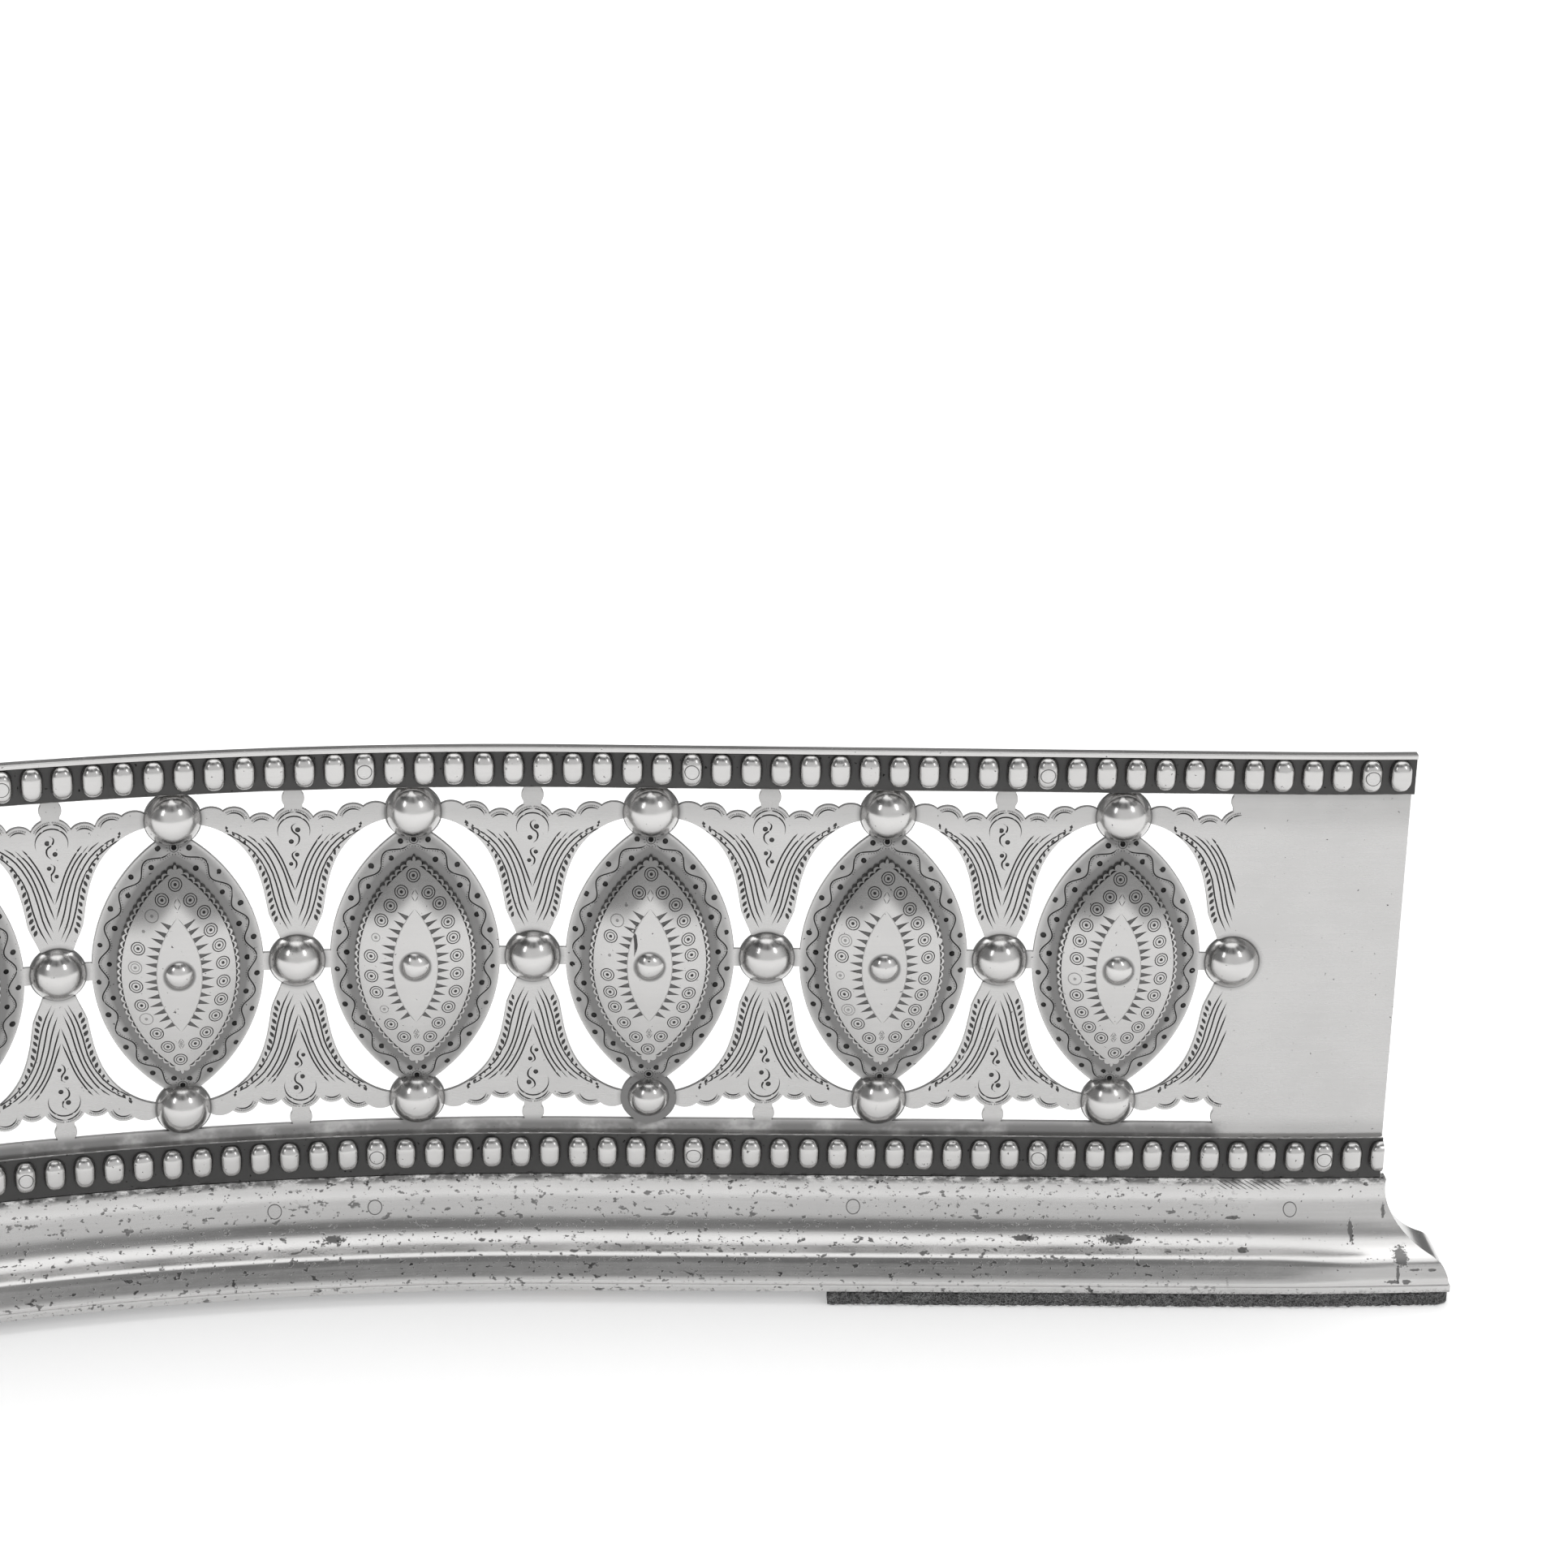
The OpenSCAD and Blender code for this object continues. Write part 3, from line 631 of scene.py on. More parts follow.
def sheet_metal(name, finish, sheet, rise_at, rim, thick=None):
    """A piece of engraved sheet. rise_at gives how far its front stands out of the frieze's
    face. rim steps round its edge: how far outward each step lies, and how far down. A sheet
    with a thickness has a back too."""
    where, faces, sunk = sheet
    rise = rise_at(*where.T)
    n = len(where)
    directed = np.stack([faces, np.roll(faces, -1, 1)], -1).reshape(-1, 2)
    _, index, uses = np.unique(np.sort(directed, 1), axis=0, return_index=True, return_counts=True)
    edge = directed[index[uses == 1]]
    step = where[edge[:, 1]] - where[edge[:, 0]]
    across = np.stack([step[:, 1], -step[:, 0]], 1) / np.hypot(*step.T)[:, None]
    outward = np.zeros_like(where)
    for end in (0, 1):
        np.add.at(outward, edge[:, end], across)
    outward /= np.maximum(np.hypot(*outward.T), 1e-9)[:, None]
    rim_points = np.unique(edge)
    number = np.full(n, -1)
    number[rim_points] = np.arange(len(rim_points))
    laid = [np.column_stack([where, rise - sunk])]
    rows = [edge]
    start = n
    if thick:
        laid.append(np.column_stack([where, rise - thick]))
        start = 2 * n
    for out, down in rim:
        level = down(rise[rim_points])
        laid.append(np.column_stack([where[rim_points] + outward[rim_points] * out, level]))
        rows.append(start + number[edge])
        start += len(rim_points)
    if thick:
        rows.append(n + edge)
    laid = np.vstack(laid)
    points = stand(*laid.T)
    wall = np.vstack(
        [np.stack([a[:, 0], b[:, 0], b[:, 1], a[:, 1]], 1) for a, b in zip(rows, rows[1:])]
    )
    reach = 0.05
    s, z = where.T
    slope_s = (rise_at(s + reach, z) - rise_at(s - reach, z)) / (2 * reach)
    slope_z = (rise_at(s, z + reach) - rise_at(s, z - reach)) / (2 * reach)
    surface = lean(s, slope_s, slope_z)
    deepest = sunk[faces].max(1)
    cut = deepest > 0
    front = surface[faces]
    front[cut] = flat_normals(points, faces[cut])[:, None]
    normals = [front.reshape(-1, 3)]
    grime_and_shade = [np.repeat(cut * (0.3 + 0.65 * np.clip(deepest / 0.2, 0, 1)), 3)]
    shown = faces.tolist()
    if thick:
        normals.append(-surface[faces[:, ::-1]].reshape(-1, 3))
        grime_and_shade.append(np.full(faces.size, 0.55))
        shown += (faces[:, ::-1] + n).tolist()
    normals.append(np.repeat(flat_normals(points, wall), 4, 0))
    grime_and_shade.append(np.full(wall.size, 0.15))
    shown += wall.tolist()
    return piece(
        name, finish, points, shown, laid, np.concatenate(grime_and_shade), np.vstack(normals)
    )


sheets = []
borders = [-half_length, *((i - 0.5) * pitch for i in ovals), bays_end, half_length]
for k, (left, right) in enumerate(zip(borders, borders[1:])):

    def keep(s, z):
        bay = 0 < k < len(borders) - 2
        return is_metal(s - (k - 8) * pitch, z - centre_z) if bay else s == s

    sheets.append(cuts.sheet((left, plate_bottom), (right, plate_top), keep))


def face_rise(s, z):
    return crown(s - pitch * np.clip(np.round(s / pitch), ovals[0], ovals[-1]), z - centre_z)


# Old polish has caked round the studs and the bosses, on the rings and along both bands.
frieze_finish, shade, rough, height = old_steel("frieze_steel", 0.51, 0.27)
s, z, _ = frieze_finish.laid_parts()
local = abs(s.math("WRAP", s, half_bay, -half_bay))
above = abs(z - centre_z)
patch = frieze_finish.noise(frieze_finish.laid(), 55, 4, 0.6)
in_bays = abs(s).rise(bays_end + 3, bays_end - 1)


def round_studs(edge, middle):
    """1 within middle millimetres of a stud's centre, falling to 0 at edge."""
    beside, over = ((local - half_bay) ** 2 + above**2), (local**2 + (above - ball_y) ** 2)
    return (beside**0.5).rise(edge, middle) + (over**0.5).rise(edge, middle) * in_bays


halo_boss = oval_gap(local, above, boss_a, boss_b).rise(4.5, 0.2)
on_ring = oval_gap(local, above, ring_a, ring_b).rise(0.5, -2.5)
by_bands = (z - centre_z).rise(47, 58) + above.rise(60, 66)
darkening = (round_studs(11.8, 9.3) + 0.4 * by_bands) * (0.3 + 0.55 * patch)
darkening = darkening + 0.8 * round_studs(10.3, 9.6)
darkening = darkening + 0.75 * (centre_z - z).rise(61.5, 66) * patch.rise(0.3, 0.55) * in_bays
darkening = frieze_finish.clamp(darkening + (halo_boss * 0.8 + on_ring * (0.32 + 0.55 * patch)) * in_bays)
frieze_finish.paint(
    frieze_finish.grey(shade * (1 - 0.62 * darkening), 0.01), rough + 0.08 * darkening, height, 0.00004
)
arris = 0.16
arris_depth = 0.22
frieze = sheet_metal(
    "frieze",
    frieze_finish,
    welded(sheets),
    face_rise,
    [
        (arris, lambda rise: rise - arris_depth),
        (arris, lambda rise: rise - plate_thick + arris_depth),
    ],
    plate_thick,
)
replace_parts(frieze, "frieze_plate")

# ---- Beading ----
# Cast strips of half-round beads on a flat band, pinned to the frieze in six lengths along each
# edge. The upper strip has a fillet along its top. The casting is rough between the beads.


def unmarked_steel(name, tone, roughness, warmth, depth, wear=1.0):
    """Steel with the common finish and no marks of its own."""
    finish, shade, rough, height = old_steel(name, tone, roughness, wear)
    finish.paint(finish.grey(shade, warmth), rough, height, depth)
    return finish


beading_finish = unmarked_steel("beading_steel", 0.56, 0.22, 0.012, 0.00005, 1.6)
bead_radius = 3.9
bead_tall = 11.8
band_thick = 2.2
band_over = 0.6
fillet_out = 3.4
top_bead_z = 197.9
low_bead_z = 50.1
top_strip = (190.4, 205.8, top_bead_z, True)
low_strip = (41, 57.4, low_bead_z, False)
beads_per_length = 22
bead_pitch = (half_length + 0.2) / 66
low_bead_pitch = (half_length - 1) / 65.5
skins = {top_bead_z: [], low_bead_z: []}


def grid(rows, columns, wrap=False):
    """Faces of a grid of points that is stored row by row."""
    r = np.arange(rows - 1)[:, None] * columns
    c = np.arange(columns if wrap else columns - 1)
    d = (c + 1) % columns
    return np.stack([r + c, r + d, r + columns + d, r + columns + c], -1).reshape(-1, 4)


def group(name, finish, parts):
    """One piece made of parts, each with its laid points, faces, and darkening by grime and
    painted shade.
    """
    starts = np.cumsum([0] + [len(laid) for laid, _, _ in parts])
    laid = np.vstack([laid for laid, _, _ in parts])
    faces = np.vstack([faces + start for (_, faces, _), start in zip(parts, starts)])
    grime_and_shade = np.concatenate([grime_and_shade for _, _, grime_and_shade in parts])
    return piece(name, finish, stand(*laid.T), faces.tolist(), laid, grime_and_shade)


def bead(s, z):
    """A half-barrel with rounded shoulders, a little different each time."""
    steps, shoulder_tall = 21, 4.3
    around = np.radians(np.linspace(-96, 96, steps))
    corner = np.radians(np.linspace(0, 90, 8))
    shoulder = 3.4 + wobble(0.12)
    tall = bead_tall / 2 + wobble(0.08)
    end_r = bead_radius - shoulder + shoulder * np.sin(corner)
    end_z = tall - shoulder_tall + shoulder_tall * np.cos(corner)
    radius = np.concatenate([[0], end_r, end_r[::-1], [0]])
    up = np.concatenate([[tall], end_z, -end_z[::-1], [-tall]])
    square = 1 + 0.09 * (np.sin(2 * around[:, None]) ** 2)
    waves = np.stack([np.ones(steps), np.sin(around), np.sin(2 * around + 1)])
    slack = 1 + 0.03 * chance.normal(0, 1, 3) @ waves
    x = radius * np.sin(around)[:, None] * square
    o = radius * np.cos(around)[:, None] * square * slack[:, None] * 0.99
    lump = chance.normal(0, 1, 4)
    fine = 0.012 * lump[2] * np.cos(up * 1.7 + lump[3])
    o = o * (1 + 0.018 * lump[0] * np.sin(up * 0.8 + lump[1]) + fine)
    o = np.minimum(o, bead_radius)
    laid = np.stack([s + x, z + up + 0 * x, band_thick - 0.25 + o], -1).reshape(-1, 3)
    # Painted shade: each bead darkens down its sides and round its ends, towards the band it
    # stands on.
    low = 1 - np.clip((laid[:, 2] - band_thick) / 1.7, 0, 1)
    skins[z].append(laid.reshape(steps, -1, 3))
    return laid, grid(steps, len(radius)), low**1.3


def beading(name, first, last, beads, low, high, bead_z, fillet):
    """One strip from s = first to s = last and z = low to z = high, with its beads at the
    given places."""
    s = np.linspace(first, last, int((last - first) / 1.2) + 1)
    if fillet:
        rim = high - 1.9
        section = [(0, low), (1.7, low), (2.2, low + 0.5)]
        section += [(2.2, low + 0.5 + k) for k in np.linspace(1, rim - low - 1.5, 8)]
        section += [(2.3, rim - 0.1), (3.1, rim), (3.4, rim + 0.3), (3.4, high - 0.4)]
        section += [(3.0, high), (0, high)]
    else:
        section = [(0, low), (1.7, low), (2.2, low + 0.4)]
        section += [(2.2, z) for z in np.linspace(low + 1.5, high - 1.5, 8)]
        section += [(2.2, high - 0.4), (1.8, high), (0, high)]
    section = np.array(section)
    n = len(section)
    o, z = (np.tile(column, (len(s), 1)) for column in section.T)
    o = o + chance.normal(0, 0.1, o.shape) * (o > 2.1) * (o < 2.25)
    o = np.clip(o - 0.05, 0, fillet_out)
    # Painted shade with the casting's grime: the band's face between the beads is darkened.
    deep = ((section[:, 0] > 2.1) & (section[:, 0] < 2.35)) * 1.0
    laid = np.stack([np.repeat(s[:, None], n, 1), z, o], -1).reshape(-1, 3)
    parts = [(laid, grid(len(s), n), np.tile(deep, len(s)))]
    cut_left = first if first < 1 - half_length else -np.inf
    cut_right = last if last > half_length - 1 else np.inf
    for place in beads:
        laid, faces, low_down = bead(place, bead_z)
        along = np.clip(laid[:, 0], cut_left, cut_right)
        parts.append((np.column_stack([along, laid[:, 1:]]), faces, low_down))
    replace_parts(group(name, beading_finish, parts), name)


for k in range(6):
    first, last = (k - 3) * beads_per_length, (k - 2) * beads_per_length
    numbers = np.arange(first, last) + 0.5
    beading(
        f"top_beading_{k + 1}",
        -half_length - band_over if k == 0 else first * bead_pitch,
        half_length + band_over if k == 5 else last * bead_pitch,
        numbers * bead_pitch,
        *top_strip,
    )
    beading(
        f"bottom_beading_{k + 1}",
        max(first * low_bead_pitch, -half_length),
        min(last * low_bead_pitch, half_length),
        numbers * low_bead_pitch,
        *low_strip,
    )

# ---- Rivets of the beading ----
# Soft iron pins through some of the beads and the frieze, filed flush with the bead in front
# and hammered to a flat head behind.

rivet_finish = unmarked_steel("rivet_steel", 0.56, 0.28, 0.01, 0.00004)
pin_head = 2.5


def turned(s, z, base, profile, steps=28, behind=False, hand=0.006):
    """A round part that stands square to the frieze at base. The profile gives radius and
    height from the middle of its face to its foot."""
    radius, out = np.array(profile, float).T
    angle = np.linspace(0, 2 * np.pi, steps, endpoint=False)
    uneven = 1 + wobble(hand) * np.cos(2 * angle + wobble(2)) + wobble(hand) * np.cos(3 * angle)
    at_s = s + radius[:, None] * np.cos(angle) * uneven
    at_z = z + radius[:, None] * np.sin(angle) * uneven
    laid = np.stack([at_s, at_z, base + out[:, None] + 0 * angle], -1).reshape(-1, 3)
    faces = grid(len(radius), steps, True)
    low = 0.35 + 0 * out if behind else 0.7 * (1 - np.clip(out / 0.4, 0, 1))
    return laid, faces if behind else faces[:, ::-1], np.repeat(low, steps)


def tail(s, z, back, radius):
    """A pin's hammered end, against a face that lies at o = back."""
    edge = [(0, -1), (radius * 0.6, -0.97), (radius - 0.25, -0.88), (radius, -0.65), (radius, 0.1)]
    return turned(s, z, back, edge, 20, True, 0.03)


def flush_head(s, z, radius, surface):
    """A pin's head that is filed down to the surface round it, with the seam that shows."""
    steps = 28
    rings = np.array([0, 0.25, 0.5, 0.75, 0.9, 0.955, 1.0, 1.06, 1.12]) * radius
    proud = np.array([0.1, 0.1, 0.1, 0.09, 0.07, 0.06, 0.035, 0.03, -0.15])
    seam = np.array([0, 0, 0, 0, 0, 0.5, 1, 0.8, 0.8])
    angle = np.linspace(0, 2 * np.pi, steps, endpoint=False)
    uneven = 1 + wobble(0.02) * np.cos(2 * angle + wobble(2))
    at_s = (s + rings[:, None] * np.cos(angle) * uneven).ravel()
    at_z = (z + rings[:, None] * np.sin(angle) * uneven).ravel()
    out = surface(at_s, at_z) + np.repeat(proud, steps)
    faces = grid(len(rings), steps, True)[:, ::-1]
    return np.column_stack([at_s, at_z, out]), faces, np.repeat(seam, steps)


def skin_of(place, bead_z):
    """The surface of the bead at a place: how far it stands out at s and z."""
    skin = min(skins[bead_z], key=lambda skin: abs(skin[0, 0, 0] - place))[1:-1, ::-1]

    def surface(s, z):
        across, out = (
            np.array([np.interp(z, row[:, 1], row[:, i]) for row in skin]) for i in (0, 2)
        )
        return np.array([np.interp(*triple) for triple in zip(s, across.T, out.T)])

    return surface


for name, numbers, apart, bead_z in [
    ("top_beading_rivets", (7, 18, 30, 41, 53, 64), bead_pitch, top_bead_z),
    ("bottom_beading_rivets", (7, 18, 30, 41, 53, 63), low_bead_pitch, low_bead_z),
]:
    parts = []
    for side in (-1, 1):
        for number in numbers:
            place = side * (number + 0.5) * apart
            parts.append(flush_head(place, bead_z, pin_head, skin_of(place, bead_z)))
            parts.append(tail(place, bead_z, -plate_thick, pin_head))
    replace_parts(group(name, rivet_finish, parts), name)

# ---- Studs ----
# Solid domed studs, turned and polished, riveted through the frieze over and under each oval
# and between the ovals. Polish has caked round their feet. One was lost and replaced by a
# smaller one.

stud_finish = unmarked_steel("stud_steel", 0.6, 0.2, 0.012, 0.00003)
stud_size = (9.75, 7.2)
replaced_size = (7.4, 5.8)
tail_radius = 3.4


def dome(radius, rise, steps=16):
    """The profile of a cap cut from a ball."""
    ball = (radius**2 + rise**2) / (2 * rise)
    angle = np.linspace(0, np.arcsin(radius / ball), steps)
    return list(zip(ball * np.sin(angle), ball * np.cos(angle) + rise - ball))


def studs(name, places, size=stud_size):
    parts = []
    for s, z in places:
        parts.append(turned(s, z, 0, dome(*size), 44))
        parts.append(tail(s, z, -plate_thick, tail_radius))
    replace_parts(group(name, stud_finish, parts), name)


replaced = 5
studs("top_studs", [(i * pitch, centre_z + ball_y) for i in ovals])
studs("middle_studs", [((i - 0.5) * pitch, centre_z) for i in (*ovals, ovals[-1] + 1)])
studs("bottom_studs", [(i * pitch, centre_z - ball_y) for i in ovals if i != replaced])
studs("replaced_stud", [(replaced * pitch, centre_z - ball_y)], replaced_size)

# ---- Bosses ----
# Plaques of thin steel domed from behind, with a notched edge turned down to the ring. Each is
# worked by hand: punched double rings round a dot, and chiselled rays round a plain field. One
# has been gouged.

boss_finish, shade, rough, height = old_steel("boss_steel", 0.52, 0.22)
s, z, _ = boss_finish.laid_parts()
local = s.math("WRAP", s, half_bay, -half_bay)
up = z - centre_z
from_stud = (local**2 + up**2) ** 0.5
inward = 0 - oval_gap(local, up, boss_a, boss_b)
# Caked polish round the stud, and a dark reflection painted over the plaque's upper part inside
# its edge.
painted_dark_top = up.rise(13, 24) * inward.rise(12.5, 7.5) * 0.5
darkening = from_stud.rise(6.2, 5.2) * 0.6 + painted_dark_top
boss_finish.paint(
    boss_finish.grey(shade * (1 - darkening), 0.012), rough + 0.1 * darkening, height, 0.00003
)
boss_foot = 3.7
boss_rise = 5.3
boss_radius = oval_radius(boss_a, boss_b)
notch_apart = 2.7
notch = 1.1
field_a = 7.9
field_b = 21.65


def boss_height(x, y):
    """The dome of a boss over the frieze's face, fuller than a ball's and steep at its edge."""
    across = (np.sqrt(x**2 + 4) - 2) * (boss_radius - boss_a)
    level = (across + np.sqrt(across**2 + boss_b**2 * (x**2 + y**2))) / boss_b**2
    return boss_foot + boss_rise * (1 - np.clip(level, 0, 1.1) ** 2.6)


def notched_edge(grow):
    """The right half of a boss's outline, from its foot to its top."""
    path = pointed_oval(boss_a - grow, boss_b - grow, 420)
    along = boss_radius * np.arcsin(np.clip(path[:, 1] / (boss_radius - grow), -1, 1))
    inward = np.stack([boss_a - boss_radius - path[:, 0], -path[:, 1]], 1)
    inward /= np.hypot(*inward.T)[:, None]
    bite = notch * (1 - np.abs(np.sin(np.pi * along / notch_apart)) ** 0.7)
    path = path + inward * bite[:, None]
    return path[path[:, 0] > 0.02]


def inside(path):
    """A test for the points within a closed path."""
    a, b = path, np.roll(path, -1, 0)

    def test(x, y):
        x, y = x[:, None], y[:, None]
        spans = (a[:, 1] > y) != (b[:, 1] > y)
        rise = np.where(a[:, 1] == b[:, 1], 1, b[:, 1] - a[:, 1])
        crossing = a[:, 0] + (y - a[:, 1]) * (b[:, 0] - a[:, 0]) / rise
        return (spans & (x < crossing)).sum(1) % 2 == 1

    return test


def engrave_boss(cuts):
    """The punched and engraved pattern of one boss, round (0, 0)."""
    reach = np.arcsin(boss_b / boss_radius)
    for m in (-1, 1):
        for along in np.arange(-43, 43, notch_apart) + notch_apart / 2:
            angle = along / boss_radius
            if abs(angle) > reach - 0.04 or chance.random() < 0.03:
                continue
            spread = np.linspace(-0.58, 0.58, 6) * notch_apart / boss_radius
            dip = boss_radius - 2.0 + 0.75 * np.cos(np.linspace(-1.3, 1.3, 6))
            x = boss_a - boss_radius + dip * np.cos(angle + spread)
            cuts.line(np.stack([m * x, dip * np.sin(angle + spread)], 1), 0.7, 0.26, 0.4)
    circles = [(4.7, 27.6), (8.7, 22.6), (11.8, 16.7), (13.9, 10.4), (15.1, 3.6)]
    circles = [(m * x, n * y) for x, y in circles for m in (-1, 1) for n in (-1, 1)]
    for x, y in [*circles, (0, 33.4), (0, -33.4)]:
        worn = x < -3 and chance.random() < 0.3
        here = (x + wobble(0.3), y + wobble(0.3))
        for size, width, depth in ((2.3, 0.34, 0.2), (1.45, 0.3, 0.16)):
            if not (worn and chance.random() < 0.6):
                cuts.circle(here, size, width, depth * (0.3 if worn else 1), 18)
        cuts.dot(here, 0.6, 0.06 if worn else 0.2, 8)
    field = pointed_oval(field_a, field_b, 30)
    field_radius = oval_radius(field_a, field_b)
    for m in (-1, 1):
        cuts.line(field * (m, 1), 0.22, 0.05, 0.04)
        for k in range(14):
            angle = (k - 6.5) * 2.95 / field_radius + wobble(0.004)
            out = np.array([np.cos(angle), np.sin(angle)])
            root = (field_a - field_radius, 0) + field_radius * out
            side = np.array([-out[1], out[0]]) * 0.95
            tip = root + out * (4.3 + wobble(0.25)) + side * wobble(0.15)
            cuts.chisel(np.array([root - side, root + side, tip]) * (m, 1), 0.17)
    for y, hatched in ((26.4, False), (-26.6, True)):
        corners = np.array([(0, 2.3), (1.25, 0), (0, -2.3), (-1.25, 0), (0, 2.3)])
        corners += (wobble(0.15), y)
        for a, b in zip(corners, corners[1:]):
            cuts.line([a, (2 * a + b) / 3, (a + 2 * b) / 3, b], 0.26, 0.1)
        for lift in (-0.9, -0.3, 0.3, 0.9) if hatched else ():
            half = 1.1 * (1 - abs(lift) / 2.3)
            centre = corners[:-1].mean(0) + (0, lift)
            cuts.line([centre + (x * half, x * 0.3) for x in (-1, -0.3, 0.3, 1)], 0.3, 0.1)


gouged = 13
gouge = [(-4.7, 17), (-5.3, 12.5), (-4.9, 8), (-5.5, 3.2)]
right_half = notched_edge(0.22)
outline = np.vstack([right_half, (right_half * (-1, 1))[::-1]])
turned_down = [
    (0.12, lambda rise: rise - 0.12),
    (0.2, lambda rise: rise - 0.55),
    (0.2, lambda rise: 0 * rise + 1.2),
    (-2.0, lambda rise: 0 * rise + 0.3),
]
for number, i in enumerate(ovals, 1):
    cuts = Cuts()
    engrave_boss(cuts)
    if number == gouged:
        cuts.line(smooth_through(gouge, 14), 1.2, 0.2)
    cuts.loops([outline], [0])
    for share in (0.86, 0.7, 0.5, 0.28):
        for m in (-1, 1):
            cuts.mark(pointed_oval(boss_a * share, boss_b * share, 36) * (m, 1))
    cuts.mark([(0, -39), (0, 39)])
    where, faces, sunk = cuts.sheet((-22, -41), (22, 41), inside(outline))

    def height_here(s, z):
        return boss_height(np.clip(s - i * pitch, -boss_a, boss_a), z - centre_z)

    name = f"boss_{number:02}"
    plaque = welded([(where + (i * pitch, centre_z), faces, sunk)])
    boss = sheet_metal(name, boss_finish, plaque, height_here, turned_down)
    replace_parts(boss, name)

# ---- Boss studs ----
# A small domed steel stud through the middle of each boss. Its shank holds the boss to the
# frieze and is riveted over behind.

small_radius = 5.2
small_rise = 2.7
small_base = 8.65
parts = []
for i in ovals:
    profile = [*dome(small_radius, small_rise, 10), (small_radius, -0.3)]
    parts.append(turned(i * pitch, centre_z, small_base, profile, 32, False, 0.02))
    parts.append(tail(i * pitch, centre_z, -plate_thick + 0.4, tail_radius))
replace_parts(group("boss_studs", stud_finish, parts), "boss_studs")

# ---- Base moulding ----
# Sheet steel drawn to a square fillet at the floor, a nose and a deep cove, mitred at both ends
# and riveted to the frieze. The nose is worn to a flat slope between the mitres. The cove's top
# is black, where a cloth can't reach under the beads, and its length is pitted and knocked.

base_finish, shade, rough, height = old_steel("base_steel", 0.58, 0.22, 2.2)
s, z, o = base_finish.laid_parts()
blotch = base_finish.noise(base_finish.laid((0.6, 1, 1)), 300, 4, 0.7)
crumble = base_finish.noise(base_finish.laid(), 1300, 3, 0.65)
# Soot under the beads and along the floor, rust pits between the mitres, a patch of file
# strokes near the right end, and a dark reflection painted along the nose's slope
stain = z.rise(37.4, 40) * blotch.rise(0.36, 0.56) * 0.85
low_stain = z.rise(7.6, 6.0) * blotch.rise(0.55, 0.66) * 0.4
pitted = abs(s).rise(640, 600) * blotch.rise(0.36, 0.52)
spots = base_finish.pits(base_finish.laid((0.75, 1, 1)), 480, 0.6) * pitted
slant = s * 0.62 + z * 0.95
hatch = slant.math("PINGPONG", slant, 0.75).rise(0.24, 0.12)
hatch = hatch * s.rise(619, 622) * s.rise(647, 642) * z.rise(36.4, 37) * z.rise(40.6, 40.2)
# Painted dark reflection: the nose's sloping face is darkened between the mitres, fading out near
# them.
painted_nose_reflection = z.rise(9.4, 10.4) * z.rise(16.6, 14.6) * o.rise(17, 19) * abs(s).rise(677, 642)
painted_nose_reflection = painted_nose_reflection * (0.1 + 0.3 * blotch)
# Knocks and deep rust spots: where each lies, and how far it reaches along s and z
marks = 0.0
for at_s, at_z, long, tall in [
    (685.5, 16.6, 2.3, 2.0), (684, 12.2, 0.55, 2.8), (682, 9.4, 2.2, 0.5), (687, 9.3, 1.5, 0.8),
    (690.5, 13.4, 1.8, 0.4), (696.5, 13.3, 1.5, 0.4), (668.8, 22.9, 0.9, 2.9),
    (681.2, 28.6, 0.7, 2.2), (674.5, 38.7, 0.8, 0.7), (584, 20.5, 5.4, 1.0),
    (550, 20.7, 3.8, 0.7), (626, 26.7, 2.4, 0.6), (629, 18.3, 1.6, 0.6), (-240, 20, 4, 0.9),
    (-420, 33, 2, 0.9), (300, 20.6, 3.4, 0.8),
]:
    far = (((s - at_s) / long) ** 2 + ((z - at_z) / tall) ** 2) ** 0.5
    marks = marks + (far + 2.6 * (crumble - 0.5)).rise(1.2, 0.9)
# The stains, pits, file strokes and knocks, with the painted reflection on the nose.
dirt_and_reflection = stain + low_stain + 0.75 * spots + 0.8 * hatch + painted_nose_reflection + 0.8 * marks
dirt_and_reflection = base_finish.clamp(dirt_and_reflection)
base_finish.paint(
    base_finish.grey(shade * (1 - 0.85 * dirt_and_reflection), 0.01),
    rough + 0.3 * (dirt_and_reflection - painted_nose_reflection),
    height - dirt_and_reflection + painted_nose_reflection,
    0.00005,
)
cove = (24.2, 38, 22)
nose = (11.1, 7.5, 12)


def bend(circle, first, last, steps):
    return round_about(*circle, steps, np.radians(first), np.radians(last))


# The section as (o, z), from its top down the front and back up the hollow side
top = [(0.05, 41), (1.2, 41), (2.1, 41)]
full_nose = np.vstack([
    bezier([(16.68, 17.33), (20.0, 16.3), (21.3, 14.4), (21.79, 12.95)], 8),
    bend(nose, 27, 2.6, 8)[1:],
])
worn_nose = np.vstack([
    bezier([(15.3, 17.87), (16.6, 17.3), (17.8, 16.7), (18.6, 15.7)], 5),
    [(19.6, 14.27), (20.6, 12.84), (21.4, 11.7), (22.0, 10.84)],
    bezier([(22.3, 10.4), (22.7, 9.8), (23.0, 9.2), (23.09, 8.05)], 6),
])
foot = [(23.2, 8), (23.45, 7.95), (23.6, 7.75), (23.6, 6.9), (23.6, 6), (23.6, 5.3), (23.3, 5)]
foot += [(20.7, 5)]
hollow = [(20.6, 8), (20.6, 10.5), (16.6, 14.2), (12.5, 15.6), (8.2, 18.6), (5, 22), (0.05, 24.5)]
moulding = np.vstack([top, bend(cove, 173.4, 249, 30), full_nose, foot, hollow])
worn = np.vstack([top, bend(cove, 173.4, 245.8, 30), worn_nose, foot, hollow])
seen = np.arange(len(moulding)) < len(moulding) - 8
return_length = 1.6
seam = 0.04


